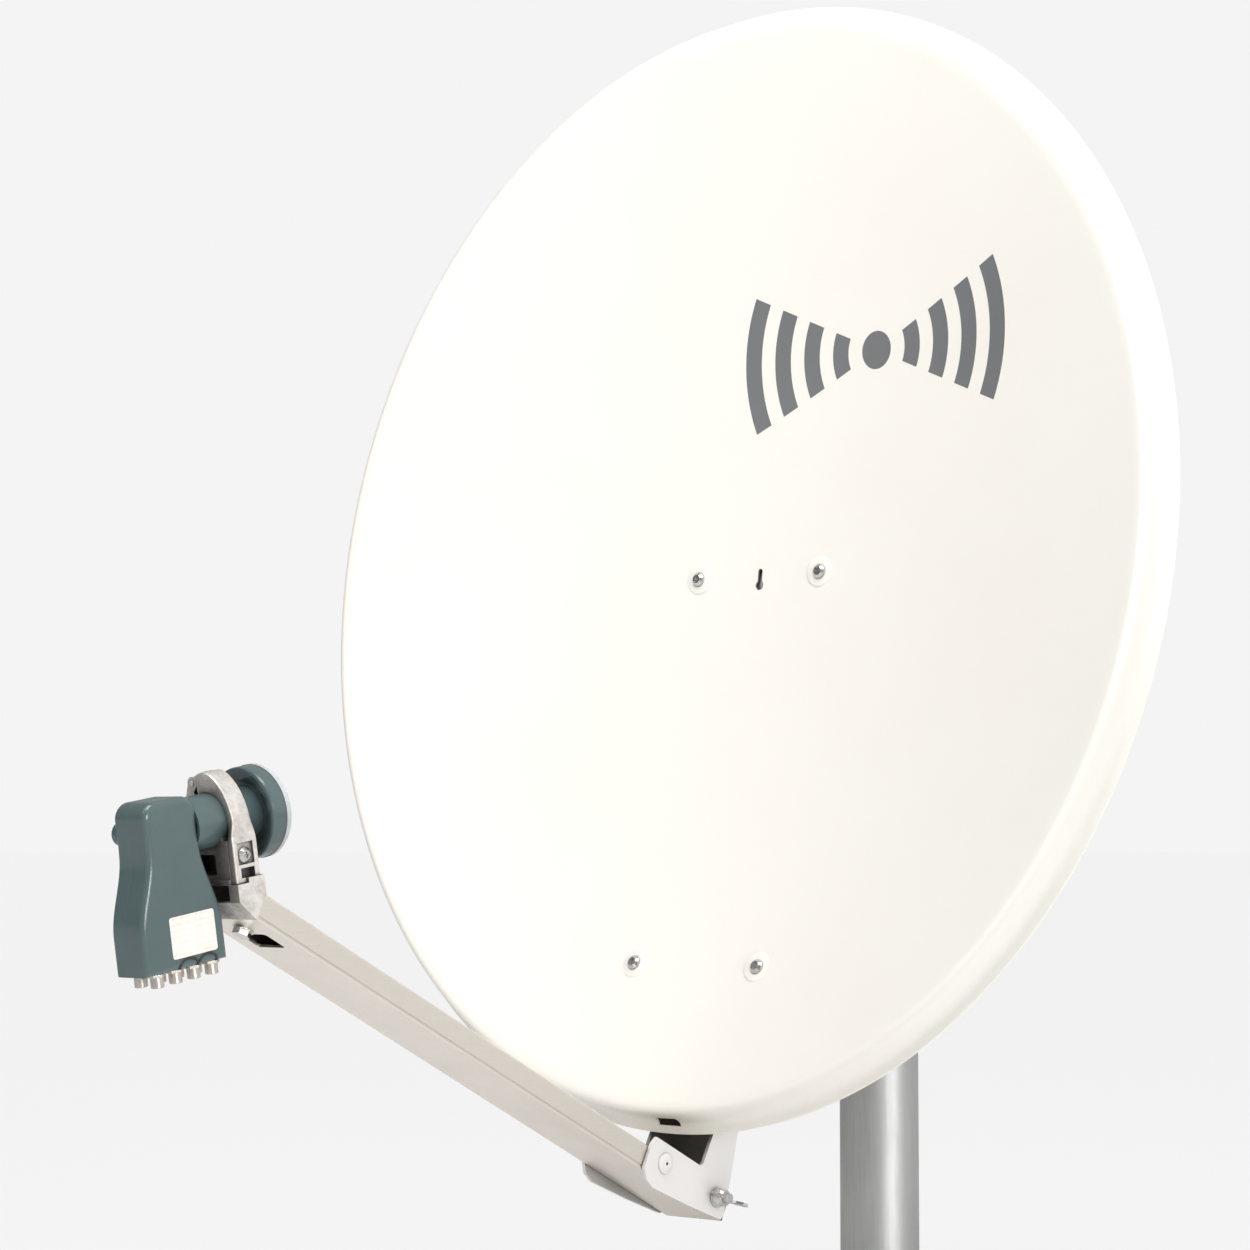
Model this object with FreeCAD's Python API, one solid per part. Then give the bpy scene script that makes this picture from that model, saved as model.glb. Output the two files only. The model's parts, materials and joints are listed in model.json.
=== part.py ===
import FreeCAD, Part
import math
import os

from FreeCAD import Placement, Rotation, Vector

# An offset satellite dish on a mast. Millimetres, +Z up, and the dish faces -Y.
# The origin is the centre of the mast's foot. The mast's axis is +Z.

# ---- driving dimensions ----
MAST_RADIUS = 35.0
MAST_WALL = 2.5
MAST_LENGTH = 700.0
MAST_MARK_HEIGHT = 90.0  # depth mark: how far the foot goes into a socket

RIM_HALF_WIDTH = 425.0
RIM_HALF_HEIGHT = 465.0
FOCAL_LENGTH = 510.0
SHEET = 2.4  # reflector wall, measured along the dish's axis
RIM_DEPTH = 28.0
RIM_CENTRE_Y = -248.0  # rim centre, in front of the mast's axis
RIM_CENTRE_Z = 720.0
DISH_LEAN = 8.05  # degrees that the rim plane leans back from vertical
SCREW_HALF_SPACING = 66.0
UPPER_SCREWS_Z = -6.0  # heights in the rim plane, from the rim's centre
LOWER_SCREWS_Z = -346.0
DRAIN_SLOT_WIDTH = 24.0

ARM_WIDTH = 60.0
ARM_HEIGHT = 20.0
ARM_WALL = 2.0
ARM_RISE = 18.32  # degrees between the arm and the rim plane's normal
ARM_START = (1.5, -530.9)  # where the arm's underside passes below the rim plane
ARM_FRONT = 510.0  # distances along the arm from that start
ARM_REAR = -66.0
ARM_PIVOT = 24.7
ARM_LOCK = -48.0
ARM_HOLE_HEIGHT = 13.5
CABLE_SLOT = (462.5, 485.0, 28.0)  # from, to, width
HOLDER_BOLT_ALONG = 494.0

PLATE = 3.0  # bracket sheet
CHEEK_GAP = 61.0  # clear width between the two cheeks of the spine
PIVOT_AT = (145.0, -100.0)  # elevation axis behind the rim plane: depth, height
LOCK_RADIUS = 90.0
LOCK_AT_DEPTH = 135.0
TILT_DOWN = 22.0  # degrees of elevation travel below and above the rest pose
TILT_UP = 18.0

NECK_RADIUS = 20.0  # 40 mm feed neck
LNB_TILT = 9.5  # degrees that the feed looks upwards
NECK_POINT = (-543.0, -229.0)  # neck axis inside the strap, from the rim's centre: y, z
CASE_MIDDLE = -54.5  # LNB casing's middle, along the neck axis
CASE_HALF_THICK = 17.0
CASE_WALL = 2.0
CASE_SPLIT = -2.0
HINGE_AT = (-12.0, 27.0)  # strap hinge from the neck axis: x, z
CONNECTOR_PITCH = 16.7
CONNECTOR_ROW = 8.5

RUN_GAP = 0.05  # radial clearance of a running fit
BODY_GAP = 0.4  # clearance between flat faces that move past each other
M8 = 4.0  # bolt radii
M6 = 3.0

X_AXIS = Vector(1, 0, 0)
Y_AXIS = Vector(0, 1, 0)
Z_AXIS = Vector(0, 0, 1)

# ---- frames of the assembly ----
RIM_CENTRE = Vector(0, RIM_CENTRE_Y, RIM_CENTRE_Z)
WORLD = Placement()
DISH = Placement(RIM_CENTRE, Rotation(X_AXIS, -DISH_LEAN))
ARM = DISH.multiply(Placement(Vector(0, *ARM_START), Rotation(X_AXIS, -ARM_RISE)))
NECK = Placement(RIM_CENTRE + Vector(0, *NECK_POINT), Rotation(X_AXIS, LNB_TILT))

# ---- the offset paraboloid, cut by the rim plane ----
OFFSET = math.acos(RIM_HALF_WIDTH / RIM_HALF_HEIGHT)
AXIS_RADIUS = 2 * FOCAL_LENGTH * math.tan(OFFSET)


def sag(x, z):
    """Depth of the reflector's front surface behind the rim plane."""
    across = AXIS_RADIUS + z * math.cos(OFFSET)
    near = AXIS_RADIUS - RIM_HALF_WIDTH
    far = AXIS_RADIUS + RIM_HALF_WIDTH
    plane = (near ** 2 + far ** 2) / (8 * FOCAL_LENGTH)
    a = math.sin(OFFSET) ** 2 / (4 * FOCAL_LENGTH)
    b = across * math.sin(OFFSET) / (2 * FOCAL_LENGTH) + math.cos(OFFSET)
    c = (x ** 2 + across ** 2) / (4 * FOCAL_LENGTH) - plane - z * math.sin(OFFSET)
    return (-b + math.sqrt(b * b - 4 * a * c)) / (2 * a)


def slope(z):
    """Angle in degrees of the reflector's middle line against the rim plane."""
    step = 1.0
    return math.degrees(math.atan2(sag(0, z + step) - sag(0, z - step), 2 * step))


# ---- small makers ----
def box(x0, x1, y0, y1, z0, z1):
    return Part.makeBox(x1 - x0, y1 - y0, z1 - z0, Vector(x0, y0, z0))


def rod(radius, start, axis, length):
    return Part.makeCylinder(radius, length, Vector(*start), axis)


def tube(outer, inner, start, axis, length):
    return rod(outer, start, axis, length).cut(rod(inner, start, axis, length))


def side_plate(points, x0, x1):
    """A plate between x0 and x1 whose outline is given as (y, z) points."""
    wire = Part.makePolygon([Vector(x0, y, z) for y, z in points + points[:1]])
    return Part.Face(wire).extrude(Vector(x1 - x0, 0, 0))


def flat_plate(points, z0, z1):
    """A plate between z0 and z1 whose outline is given as (x, y) points."""
    wire = Part.makePolygon([Vector(x, y, z0) for x, y in points + points[:1]])
    return Part.Face(wire).extrude(Vector(0, 0, z1 - z0))


def turned(points, axis_start, axis):
    """A solid turned about an axis from (radius, distance along the axis) points."""
    side = Z_AXIS if abs(axis.z) < 0.5 else X_AXIS
    corners = [Vector(*axis_start) + side * r + axis * t for r, t in points + points[:1]]
    face = Part.Face(Part.makePolygon(corners))
    return face.revolve(Vector(*axis_start), axis, 360)


def hexagon(across_flats, start, axis, length):
    radius = across_flats / math.sqrt(3)
    side = Z_AXIS if abs(axis.z) < 0.5 else X_AXIS
    turn = Rotation(axis, 60)
    corners = [Vector(*start) + side * radius]
    arm = side * radius
    for _ in range(6):
        arm = turn.multVec(arm)
        corners.append(Vector(*start) + arm)
    return Part.Face(Part.makePolygon(corners)).extrude(axis * length)


def rounded(shape, radius, wanted):
    """Fillet the edges that the test picks, by their middle point and direction."""
    edges = []
    for edge in shape.Edges:
        first, last = edge.ParameterRange
        middle = edge.valueAt((first + last) / 2)
        if wanted(edge, middle):
            edges.append(edge)
    return shape.makeFillet(radius, edges) if edges else shape


def runs_along(edge, axis):
    if edge.Curve.TypeId != "Part::GeomLine":
        return False
    return abs(edge.Curve.Direction.dot(axis)) > 0.999


def union(shapes):
    return shapes[0].multiFuse(shapes[1:]).removeSplitter()


def save(name, shape, frame=WORLD):
    """Write one node. Several separate solids are kept as a compound."""
    placed = shape.copy()
    placed.Placement = frame.multiply(placed.Placement)
    solids = placed.Solids
    for solid in solids:
        if not solid.isValid() or solid.Volume <= 0:
            raise ValueError(name + " has a bad solid")
    result = solids[0] if len(solids) == 1 else Part.makeCompound(solids)
    result.exportStep("parts/" + name + ".step")
    print(name, len(solids), round(sum(s.Volume for s in solids) / 1000, 2), "cm3")


# ---- fasteners ----
def hex_bolt(radius, start, axis, length, across=13.0, head=5.3):
    """A hexagon bolt. The shank starts at the seat and the head lies behind it."""
    seat = Vector(*start)
    shank = rod(radius, start, axis, length)
    return shank.fuse(hexagon(across, seat - axis * head, axis, head))


def hex_nut(radius, start, axis, across=13.0, height=6.5):
    body = hexagon(across, start, axis, height)
    return body.cut(rod(radius, start, axis, height))


def washer(radius, start, axis, outer=8.0, thick=1.6):
    return tube(outer, radius, start, axis, thick)


def pan_screw(radius, start, axis, length, head_radius=6.0, head=3.4):
    """A pan-head cross-recess screw. The shank starts at the seat."""
    seat = Vector(*start)
    outline = [(0, 0), (head_radius, 0), (head_radius, -0.45 * head),
               (0.62 * head_radius, -head), (0, -head)]
    body = turned(outline, start, axis)
    arm = 0.42 * head_radius
    wide = 0.11 * head_radius
    depth = 0.6 * head
    front = seat - axis * head
    side = Z_AXIS if abs(axis.z) < 0.5 else X_AXIS
    cross = axis.cross(side)
    for along, over in ((side, cross), (cross, side)):
        corner = front - along * arm - over * wide
        far = corner + along * 2 * arm
        wire = Part.makePolygon([corner, far, far + over * 2 * wide, corner + over * 2 * wide, corner])
        body = body.cut(Part.Face(wire).extrude(axis * depth))
    return body.fuse(rod(radius, start, axis, length))


# ---- mast ----
def mast_tube():
    body = tube(MAST_RADIUS, MAST_RADIUS - MAST_WALL, (0, 0, 0), Z_AXIS, MAST_LENGTH)
    mark_width = 1.6
    mark_depth = 0.85
    mark = tube(MAST_RADIUS + 1, MAST_RADIUS - mark_depth, (0, 0, MAST_MARK_HEIGHT), Z_AXIS, mark_width)
    return body.cut(mark)


def mast_cap():
    inner = MAST_RADIUS + 0.1
    outer = MAST_RADIUS + 2.4
    skirt = 24.0
    crown = 3.0
    points = [(inner, -skirt), (outer, -skirt), (outer, crown - 1.5), (outer - 2.5, crown + 0.5),
              (0, crown + 3), (0, 0), (inner, 0)]
    return turned(points, (0, 0, MAST_LENGTH), Z_AXIS)


# ---- head: what turns on the mast ----
JAW_HEIGHTS = (RIM_CENTRE_Z - 115.0, RIM_CENTRE_Z - 245.0)
SADDLE_FRONT = -46.0  # the saddle plate's front face
SADDLE_SHEET = 4.0
SADDLE_HALF = 60.0
SADDLE_TOP = RIM_CENTRE_Z - 88.0
SADDLE_BOTTOM = RIM_CENTRE_Z - 272.0
CLAMP_BOLT_X = 48.0
GRIP_GAP = 0.08  # the clamp's flats against the mast


def v_reach(x):
    """How far from the mast's axis a right-angled V that touches the mast lies at x."""
    return (MAST_RADIUS + GRIP_GAP) * math.sqrt(2) - abs(x)


def notched_flange(z):
    """A horizontal flange of the saddle with a toothed V that bears on the mast."""
    edge = SADDLE_FRONT + SADDLE_SHEET
    mouth = 18.0
    half = v_reach(0) - mouth
    apex = 8.0
    wide = SADDLE_HALF - 8
    points = [(-wide, edge - 1), (wide, edge - 1), (wide, edge + 2), (half + 8, -mouth),
              (half, -mouth), (apex, -v_reach(apex)), (-apex, -v_reach(apex)), (-half, -mouth),
              (-half - 8, -mouth), (-wide, edge + 2)]
    return flat_plate(points, z, z + SADDLE_SHEET)


def mast_saddle():
    back = SADDLE_FRONT + SADDLE_SHEET
    web = box(-SADDLE_HALF, SADDLE_HALF, SADDLE_FRONT, back, SADDLE_BOTTOM, SADDLE_TOP)
    web = rounded(web, 8, lambda e, m: runs_along(e, Y_AXIS))
    flanges = [notched_flange(SADDLE_BOTTOM), notched_flange(SADDLE_TOP - SADDLE_SHEET)]
    body = union([web] + flanges)
    for z in JAW_HEIGHTS:
        for x in (-CLAMP_BOLT_X, CLAMP_BOLT_X):
            body = body.cut(rod(M8 + 0.3, (x, SADDLE_FRONT - 1, z), Y_AXIS, SADDLE_SHEET + 2))
    return body


def mast_jaw(z):
    """A bent strip with toothed edges that pulls the mast into the saddle."""
    near = 20.0
    thick = 5.0
    half_height = 14.0
    bend = v_reach(0) - near
    apex = 8.0
    lean = thick * math.tan(math.radians(22.5))
    end = 62.0
    top = v_reach(apex)
    points = [(-end, near), (-bend, near), (-apex, top), (apex, top), (bend, near), (end, near),
              (end, near + thick), (bend + lean, near + thick), (apex + lean, top + thick),
              (-apex - lean, top + thick), (-bend - lean, near + thick), (-end, near + thick)]
    body = flat_plate(points, z - half_height, z + half_height)
    tooth = 3.2
    for k in range(4):
        step = apex + 4 + k * 4.6
        for side in (-1, 1):
            centre = (side * step, v_reach(step) - 1.2)
            for edge in (z - half_height, z + half_height):
                cut = box(-tooth / 2, tooth / 2, -tooth / 2, tooth / 2, -1.5, 1.5)
                cut.rotate(Vector(), Z_AXIS, 45)
                cut.translate(Vector(centre[0], centre[1], edge))
                body = body.cut(cut)
    for x in (-CLAMP_BOLT_X, CLAMP_BOLT_X):
        body = body.cut(rod(M8 + 0.3, (x, near - 1, z), Y_AXIS, thick + 2))
    return rounded(body, 6, lambda e, m: runs_along(e, Y_AXIS) and abs(abs(m.x) - end) < 1)


JAW_BACK = 25.0


def clamp_bolts():
    """Four round-head bolts from the saddle's front, through the jaws."""
    bolts = []
    for z in JAW_HEIGHTS:
        for x in (-CLAMP_BOLT_X, CLAMP_BOLT_X):
            shank = rod(M8, (x, SADDLE_FRONT, z), Y_AXIS, JAW_BACK - SADDLE_FRONT + 14)
            head = turned([(0, 0), (9, 0), (7.6, -3), (4.5, -4.6), (0, -5)], (x, SADDLE_FRONT, z), Y_AXIS)
            bolts.append(shank.fuse(head))
    return Part.makeCompound(bolts)


def clamp_nuts():
    return Part.makeCompound([hex_nut(M8, (x, JAW_BACK + 1.6, z), Y_AXIS)
                              for z in JAW_HEIGHTS for x in (-CLAMP_BOLT_X, CLAMP_BOLT_X)])


def clamp_washers():
    return Part.makeCompound([washer(M8, (x, JAW_BACK, z), Y_AXIS)
                              for z in JAW_HEIGHTS for x in (-CLAMP_BOLT_X, CLAMP_BOLT_X)])


YOKE_INNER = CHEEK_GAP / 2 + PLATE + BODY_GAP
YOKE_OUTER = YOKE_INNER + PLATE


def in_world(depth, height):
    """A point of the dish's side plane, in world coordinates at rest."""
    return DISH.multVec(Vector(0, depth, height))


PIVOT = in_world(*PIVOT_AT)
LOCK_DROP = math.sqrt(LOCK_RADIUS ** 2 - (PIVOT_AT[0] - LOCK_AT_DEPTH) ** 2)
LOCK = in_world(LOCK_AT_DEPTH, PIVOT_AT[1] - LOCK_DROP)


def tilt_yoke():
    """A channel welded to the saddle. Its two cheeks hold the elevation bolts."""
    back = SADDLE_FRONT
    top = PIVOT.z + 18
    low = LOCK.z - 18
    outline = [(back, top + 8), (PIVOT.y + 4, top),
               (PIVOT.y - 14, PIVOT.z + 8), (PIVOT.y - 14, PIVOT.z - 8),
               (LOCK.y - 13, LOCK.z + 12), (LOCK.y - 13, LOCK.z - 8), (LOCK.y + 4, low), (back, low - 24)]
    cheeks = [side_plate(outline, x, x + PLATE) for x in (-YOKE_OUTER, YOKE_INNER)]
    web = box(-YOKE_OUTER, YOKE_OUTER, back - PLATE, back, low - 24, top + 8)
    body = union(cheeks + [web])
    for centre in (PIVOT, LOCK):
        body = body.cut(rod(M8, (-YOKE_OUTER - 1, centre.y, centre.z), X_AXIS, 2 * YOKE_OUTER + 2))
    return rounded(body, 7, lambda e, m: runs_along(e, X_AXIS) and m.y < back - PLATE - 1)


def cross_bolt(centre):
    return hex_bolt(M8, (-YOKE_OUTER - 1.6, centre.y, centre.z), X_AXIS, 2 * YOKE_OUTER + 3.2 + 12)


def cross_nut(centre):
    return hex_nut(M8, (YOKE_OUTER + 1.6, centre.y, centre.z), X_AXIS)


def elevation_washers():
    return Part.makeCompound([washer(M8, (x, c.y, c.z), X_AXIS)
                              for c in (PIVOT, LOCK) for x in (-YOKE_OUTER - 1.6, YOKE_OUTER)])


# ---- reflector, in the dish's frame: +Y goes back from the rim plane ----
LIP = 19.0  # how far the rim's lip stands out, at the top and bottom
SQUEEZE = RIM_HALF_WIDTH / RIM_HALF_HEIGHT


def ellipse_turned(points):
    """A solid turned at the rim's half height, squeezed sideways to the rim's ellipse."""
    wire = Part.makePolygon([Vector(0, p, r) for r, p in points + points[:1]])
    solid = Part.Face(wire).revolve(Vector(), Y_AXIS, 360)
    return scaled_x(solid)


def scaled_x(solid):
    matrix = FreeCAD.Matrix()
    matrix.scale(SQUEEZE, 1, 1)
    return solid.transformGeometry(matrix)


def rim_outline(inset):
    """The skirt's outline from the front edge to the lip, moved in by the sheet's thickness."""
    edge = RIM_HALF_HEIGHT
    return [(edge + 2.5 - inset * 0.3, inset), (edge + 5.5 - inset * 0.8, 1.2 + inset * 0.7),
            (edge + 7.4 - inset, 4.0 + inset * 0.4), (edge + 9.0 - inset, 17.0),
            (edge + 10.4 - inset, 21.5 + inset * 0.3), (edge + 13.5 - inset * 0.7, 24.6 + inset * 0.7),
            (edge + LIP - inset * 0.3, 26.0 + inset)]


def dish_space(shift):
    """The bowl's hollow: a cap of the paraboloid under the rim plane, moved back along the dish's axis.

    Along the dish's axis, the depth under the rim ellipse is a plain paraboloid of revolution,
    so the cap is turned on a unit circle and then stretched and sheared into place.
    """
    depth = RIM_HALF_WIDTH ** 2 / (4 * FOCAL_LENGTH)
    edge = Vector(0, shift, 1)
    centre = Vector(0, depth + shift, 0)
    curve = Part.BezierCurve()
    curve.setPoles([centre, Vector(0, depth + shift, 0.5), edge])
    edges = [curve.toShape(), Part.makeLine(edge, Vector(0, 0, 1)) if shift else None,
             Part.makeLine(Vector(0, 0, 1), Vector()), Part.makeLine(Vector(), centre)]
    face = Part.Face(Part.Wire([e for e in edges if e]))
    cap = face.revolve(Vector(), Y_AXIS, 360)
    cap.rotate(Vector(), Y_AXIS, 37)  # keeps the seam off the middle
    matrix = FreeCAD.Matrix(RIM_HALF_WIDTH, 0, 0, 0,
                            0, math.cos(OFFSET), 0, 0,
                            0, -math.sin(OFFSET), RIM_HALF_HEIGHT, 0,
                            0, 0, 0, 1)
    return cap.transformGeometry(matrix)


def seat_frame(z):
    """A frame on the reflector's middle line whose +Y is the surface's back normal."""
    return Placement(Vector(0, sag(0, z), z), Rotation(X_AXIS, -slope(z)))


def moved(shape, frame):
    result = shape.copy()
    result.Placement = frame.multiply(result.Placement)
    return result


SCREW_SIDE_RISE = SCREW_HALF_SPACING ** 2 / (4 * FOCAL_LENGTH)
PAD_RADIUS = 13.0
PAD_FRONT = -SCREW_SIDE_RISE - 0.8
PAD_BACK = -SCREW_SIDE_RISE + 3.4
CROSS_FRONT = 4.2
SCREW_ROWS = (UPPER_SCREWS_Z, LOWER_SCREWS_Z)
SIDES = (-SCREW_HALF_SPACING, SCREW_HALF_SPACING)


def reflector():
    """The pressed sheet: bowl, rolled skirt and lip in one, with screw pads, keyhole and drain slot."""
    inner = dish_space(0)
    bowl = dish_space(SHEET)
    lip = RIM_HALF_HEIGHT + LIP
    hem = [(lip + 1.6, RIM_DEPTH - 1.4), (lip + 1.6, RIM_DEPTH), (lip - 0.6, RIM_DEPTH)]
    puck = ellipse_turned([(0, 0)] + rim_outline(0) + hem + rim_outline(1.8)[::-1] + [(0, 1.8)])
    body = bowl.fuse(puck)
    pads = [moved(rod(PAD_RADIUS, (x, PAD_FRONT, 0), Y_AXIS, PAD_BACK - PAD_FRONT), seat_frame(z))
            for z in SCREW_ROWS for x in SIDES]
    body = body.cut(inner).multiFuse(pads)
    holes = [moved(rod(M6 + 0.2, (x, -20, 0), Y_AXIS, 40), seat_frame(z))
             for z in SCREW_ROWS for x in SIDES]
    wide, narrow, low, high = 4.2, 2.4, -4, 8
    keyhole = [rod(wide, (0, -20, low), Y_AXIS, 40), rod(narrow, (0, -20, high), Y_AXIS, 40),
               box(-narrow, narrow, -20, 20, low, high)]
    half_slot = DRAIN_SLOT_WIDTH / 2
    drain = box(-half_slot, half_slot, 15.5, 22.5, -RIM_HALF_HEIGHT - 30, -RIM_HALF_HEIGHT - 4)
    return body.cut(holes + [moved(cut, seat_frame(-10)) for cut in keyhole] + [drain])


def reflector_screws():
    screws = []
    for z in SCREW_ROWS:
        for x in SIDES:
            screw = pan_screw(M6, (x, PAD_FRONT, 0), Y_AXIS, CROSS_FRONT + PLATE - PAD_FRONT + 8)
            screws.append(moved(screw, seat_frame(z)))
    return Part.makeCompound(screws)


def reflector_spacers():
    outer = 9.0
    length = CROSS_FRONT - PAD_BACK
    return Part.makeCompound([moved(tube(outer, M6 + 0.1, (x, PAD_BACK, 0), Y_AXIS, length), seat_frame(z))
                              for z in SCREW_ROWS for x in SIDES])


def reflector_nuts():
    back = CROSS_FRONT + PLATE
    nuts = []
    for z in SCREW_ROWS:
        for x in SIDES:
            flange = tube(7.2, M6, (x, back, 0), Y_AXIS, 1.4)
            nut = hex_nut(M6, (x, back + 1.4, 0), Y_AXIS, across=10.0, height=4.6)
            nuts.append(moved(flange.fuse(nut).removeSplitter(), seat_frame(z)))
    return Part.makeCompound(nuts)


CROSS_HALF = 84.0
CROSS_TALL = 17.0


def cross_plate(z):
    """A strip behind the reflector that two screws hold, with its long edges bent back."""
    web = box(-CROSS_HALF, CROSS_HALF, CROSS_FRONT, CROSS_FRONT + PLATE, -CROSS_TALL, CROSS_TALL)
    web = rounded(web, 8, lambda e, m: runs_along(e, Y_AXIS))
    for x in SIDES:
        web = web.cut(rod(M6 + 0.2, (x, CROSS_FRONT - 1, 0), Y_AXIS, PLATE + 2))
    return moved(web, seat_frame(z))


# ---- spine: the channel behind the reflector that also carries the feed arm ----
def cheek_point(along, above):
    """A point given along and above the arm's underside, as (depth, height) behind the rim plane."""
    rise = math.radians(ARM_RISE)
    depth = ARM_START[0] - along * math.cos(rise) + above * math.sin(rise)
    return depth, ARM_START[1] + along * math.sin(rise) + above * math.cos(rise)


def seat_point(z, depth, up):
    """A point behind the reflector's middle line, as (depth, height)."""
    spot = seat_frame(z).multVec(Vector(0, depth, up))
    return spot.y, spot.z


def spine_outline():
    cross_back = CROSS_FRONT + PLATE
    arm_part = [cheek_point(-20.5, 28.8), cheek_point(43, 28.8), cheek_point(46.5, 22), cheek_point(47, 2),
                cheek_point(41, -6), cheek_point(31, -9.3), cheek_point(-17.7, -5.6),
                cheek_point(-64, -0.4)]
    rear = [cheek_point(-58.8, 33.3), (72.7, -479), (92, -400), (118, -300), (150, -248), (176, -212),
            (178, -150), (172, -80), (150, -62), (118, -48), (112, 12)]
    front = [seat_point(UPPER_SCREWS_Z, cross_back, CROSS_TALL),
             seat_point(UPPER_SCREWS_Z, cross_back, -CROSS_TALL),
             seat_point(-100, 8, 0), seat_point(-180, 8, 0), seat_point(-260, 9, 0),
             seat_point(LOWER_SCREWS_Z, cross_back, CROSS_TALL),
             seat_point(LOWER_SCREWS_Z, cross_back, -CROSS_TALL),
             (43, -420), cheek_point(-22, 58)]
    return arm_part + rear + front


def lock_path(degrees):
    """Where the elevation lock bolt lies in the dish's plane when the dish is tilted."""
    angle = math.radians(degrees)
    y = LOCK_AT_DEPTH - PIVOT_AT[0]
    z = -LOCK_DROP
    depth = PIVOT_AT[0] + y * math.cos(angle) - z * math.sin(angle)
    return depth, PIVOT_AT[1] + y * math.sin(angle) + z * math.cos(angle)


def lock_slot():
    """The arc-shaped slot that the lock bolt slides in."""
    radius = M8 + 0.25
    low = lock_path(-TILT_DOWN - 1)
    high = lock_path(TILT_UP + 1)
    ring = tube(LOCK_RADIUS + radius, LOCK_RADIUS - radius, (-60, *PIVOT_AT), X_AXIS, 120)
    far = 3.0
    y0, z0 = PIVOT_AT
    wedge = [PIVOT_AT] + [(y0 + far * (y - y0), z0 + far * (z - z0)) for y, z in (low, high)]
    arc = ring.common(side_plate(wedge, -60, 60))
    ends = [rod(radius, (-60, *p), X_AXIS, 120) for p in (low, high)]
    return arc.multiFuse(ends)


def back_spine():
    """Two side plates with a web between them, as one bent and welded sheet."""
    half = CHEEK_GAP / 2
    outline = spine_outline()
    plates = [side_plate(outline, x, x + PLATE) for x in (-half - PLATE, half)]
    web_points = [cheek_point(-58.8, 33.3), (72.7, -479), (92, -400), (118, -300), (150, -248)]
    inward = PLATE
    strip = web_points + [(d - inward * 1.05, z + inward * 0.5) for d, z in web_points[::-1]]
    top_points = [(150, -62), (118, -48), (112, 12)]
    top_strip = top_points + [(d - inward, z - inward * 0.4) for d, z in top_points[::-1]]
    webs = [side_plate(strip, -half, half), side_plate(top_strip, -half, half)]
    body = union(plates + webs)
    body = body.cut(lock_slot())
    body = body.cut(rod(M8 + RUN_GAP, (-60, *PIVOT_AT), X_AXIS, 120))
    for along in (ARM_PIVOT, ARM_LOCK):
        body = body.cut(rod(M8, (-60, *cheek_point(along, ARM_HOLE_HEIGHT)), X_AXIS, 120))
    corners = [cheek_point(-20.5, 28.8), cheek_point(-64, -0.4)]
    return rounded(body, 5, lambda e, m: runs_along(e, X_AXIS) and e.Length < PLATE + 0.5
                   and any(math.hypot(m.y - y, m.z - z) < 1 for y, z in corners))


# ---- arm joint, in the arm's frame: -Y goes forward along the arm, +Z is its upper side ----
CHEEK_OUT = CHEEK_GAP / 2 + PLATE


def arm_pivot_rivet():
    """A tubular rivet through both cheeks and the arm, with a small hole in each head."""
    start = (-CHEEK_OUT, -ARM_PIVOT, ARM_HOLE_HEIGHT)
    body = rod(M8, start, X_AXIS, 2 * CHEEK_OUT)
    left = turned([(0, 0), (8.6, 0), (8.2, -1.2), (5, -2.2), (0, -2.4)], start, X_AXIS)
    end = (CHEEK_OUT, -ARM_PIVOT, ARM_HOLE_HEIGHT)
    right = turned([(0, 0), (8.6, 0), (8.2, 1.2), (5, 2.2), (0, 2.4)], end, X_AXIS)
    body = body.multiFuse([left, right])
    return body.cut(rod(1.3, (-CHEEK_OUT - 5, -ARM_PIVOT, ARM_HOLE_HEIGHT), X_AXIS, 2 * CHEEK_OUT + 10))


WASHER_THICK = 1.6
WING_SEAT = CHEEK_OUT + WASHER_THICK + 0.1


def arm_lock_bolt():
    return hex_bolt(M8, (-CHEEK_OUT, -ARM_LOCK, ARM_HOLE_HEIGHT), X_AXIS, 2 * CHEEK_OUT + WASHER_THICK + 13)


def arm_lock_washer():
    return washer(M8, (CHEEK_OUT, -ARM_LOCK, ARM_HOLE_HEIGHT), X_AXIS)


def wing_nut():
    """A wing nut on the lock bolt. Its two wings rise away from the cheek."""
    y, z = -ARM_LOCK, ARM_HOLE_HEIGHT
    bore = M8 + RUN_GAP
    hub = turned([(bore, 0), (7.8, 0), (7.8, 1.5), (6.3, 8.5), (bore, 8.5)], (WING_SEAT, y, z), X_AXIS)
    pieces = [hub]
    for side in (-1, 1):
        points = [(5.2, 1), (9, 2.5), (15, 8), (19, 13.5), (19.5, 17), (17, 18.5), (13, 17.5), (9.5, 12),
                  (5.2, 8)]
        wire = [Vector(WING_SEAT + out, y + side * r, z - 1.1) for r, out in points]
        wing = Part.Face(Part.makePolygon(wire + wire[:1])).extrude(Vector(0, 0, 2.2))
        pieces.append(wing)
    body = union(pieces)
    body = body.cut(rod(bore, (WING_SEAT - 1, y, z), X_AXIS, 30))
    body.rotate(Vector(0, y, z), X_AXIS, 4)
    return body


# ---- feed arm ----
def hollow_bar(width, height, wall, y0, y1, corner):
    outer = box(-width / 2, width / 2, y0, y1, 0, height)
    outer = rounded(outer, corner, lambda e, m: runs_along(e, Y_AXIS))
    inner = box(-width / 2 + wall, width / 2 - wall, y0 - 1, y1 + 1, wall, height - wall)
    return outer.cut(inner)


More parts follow.
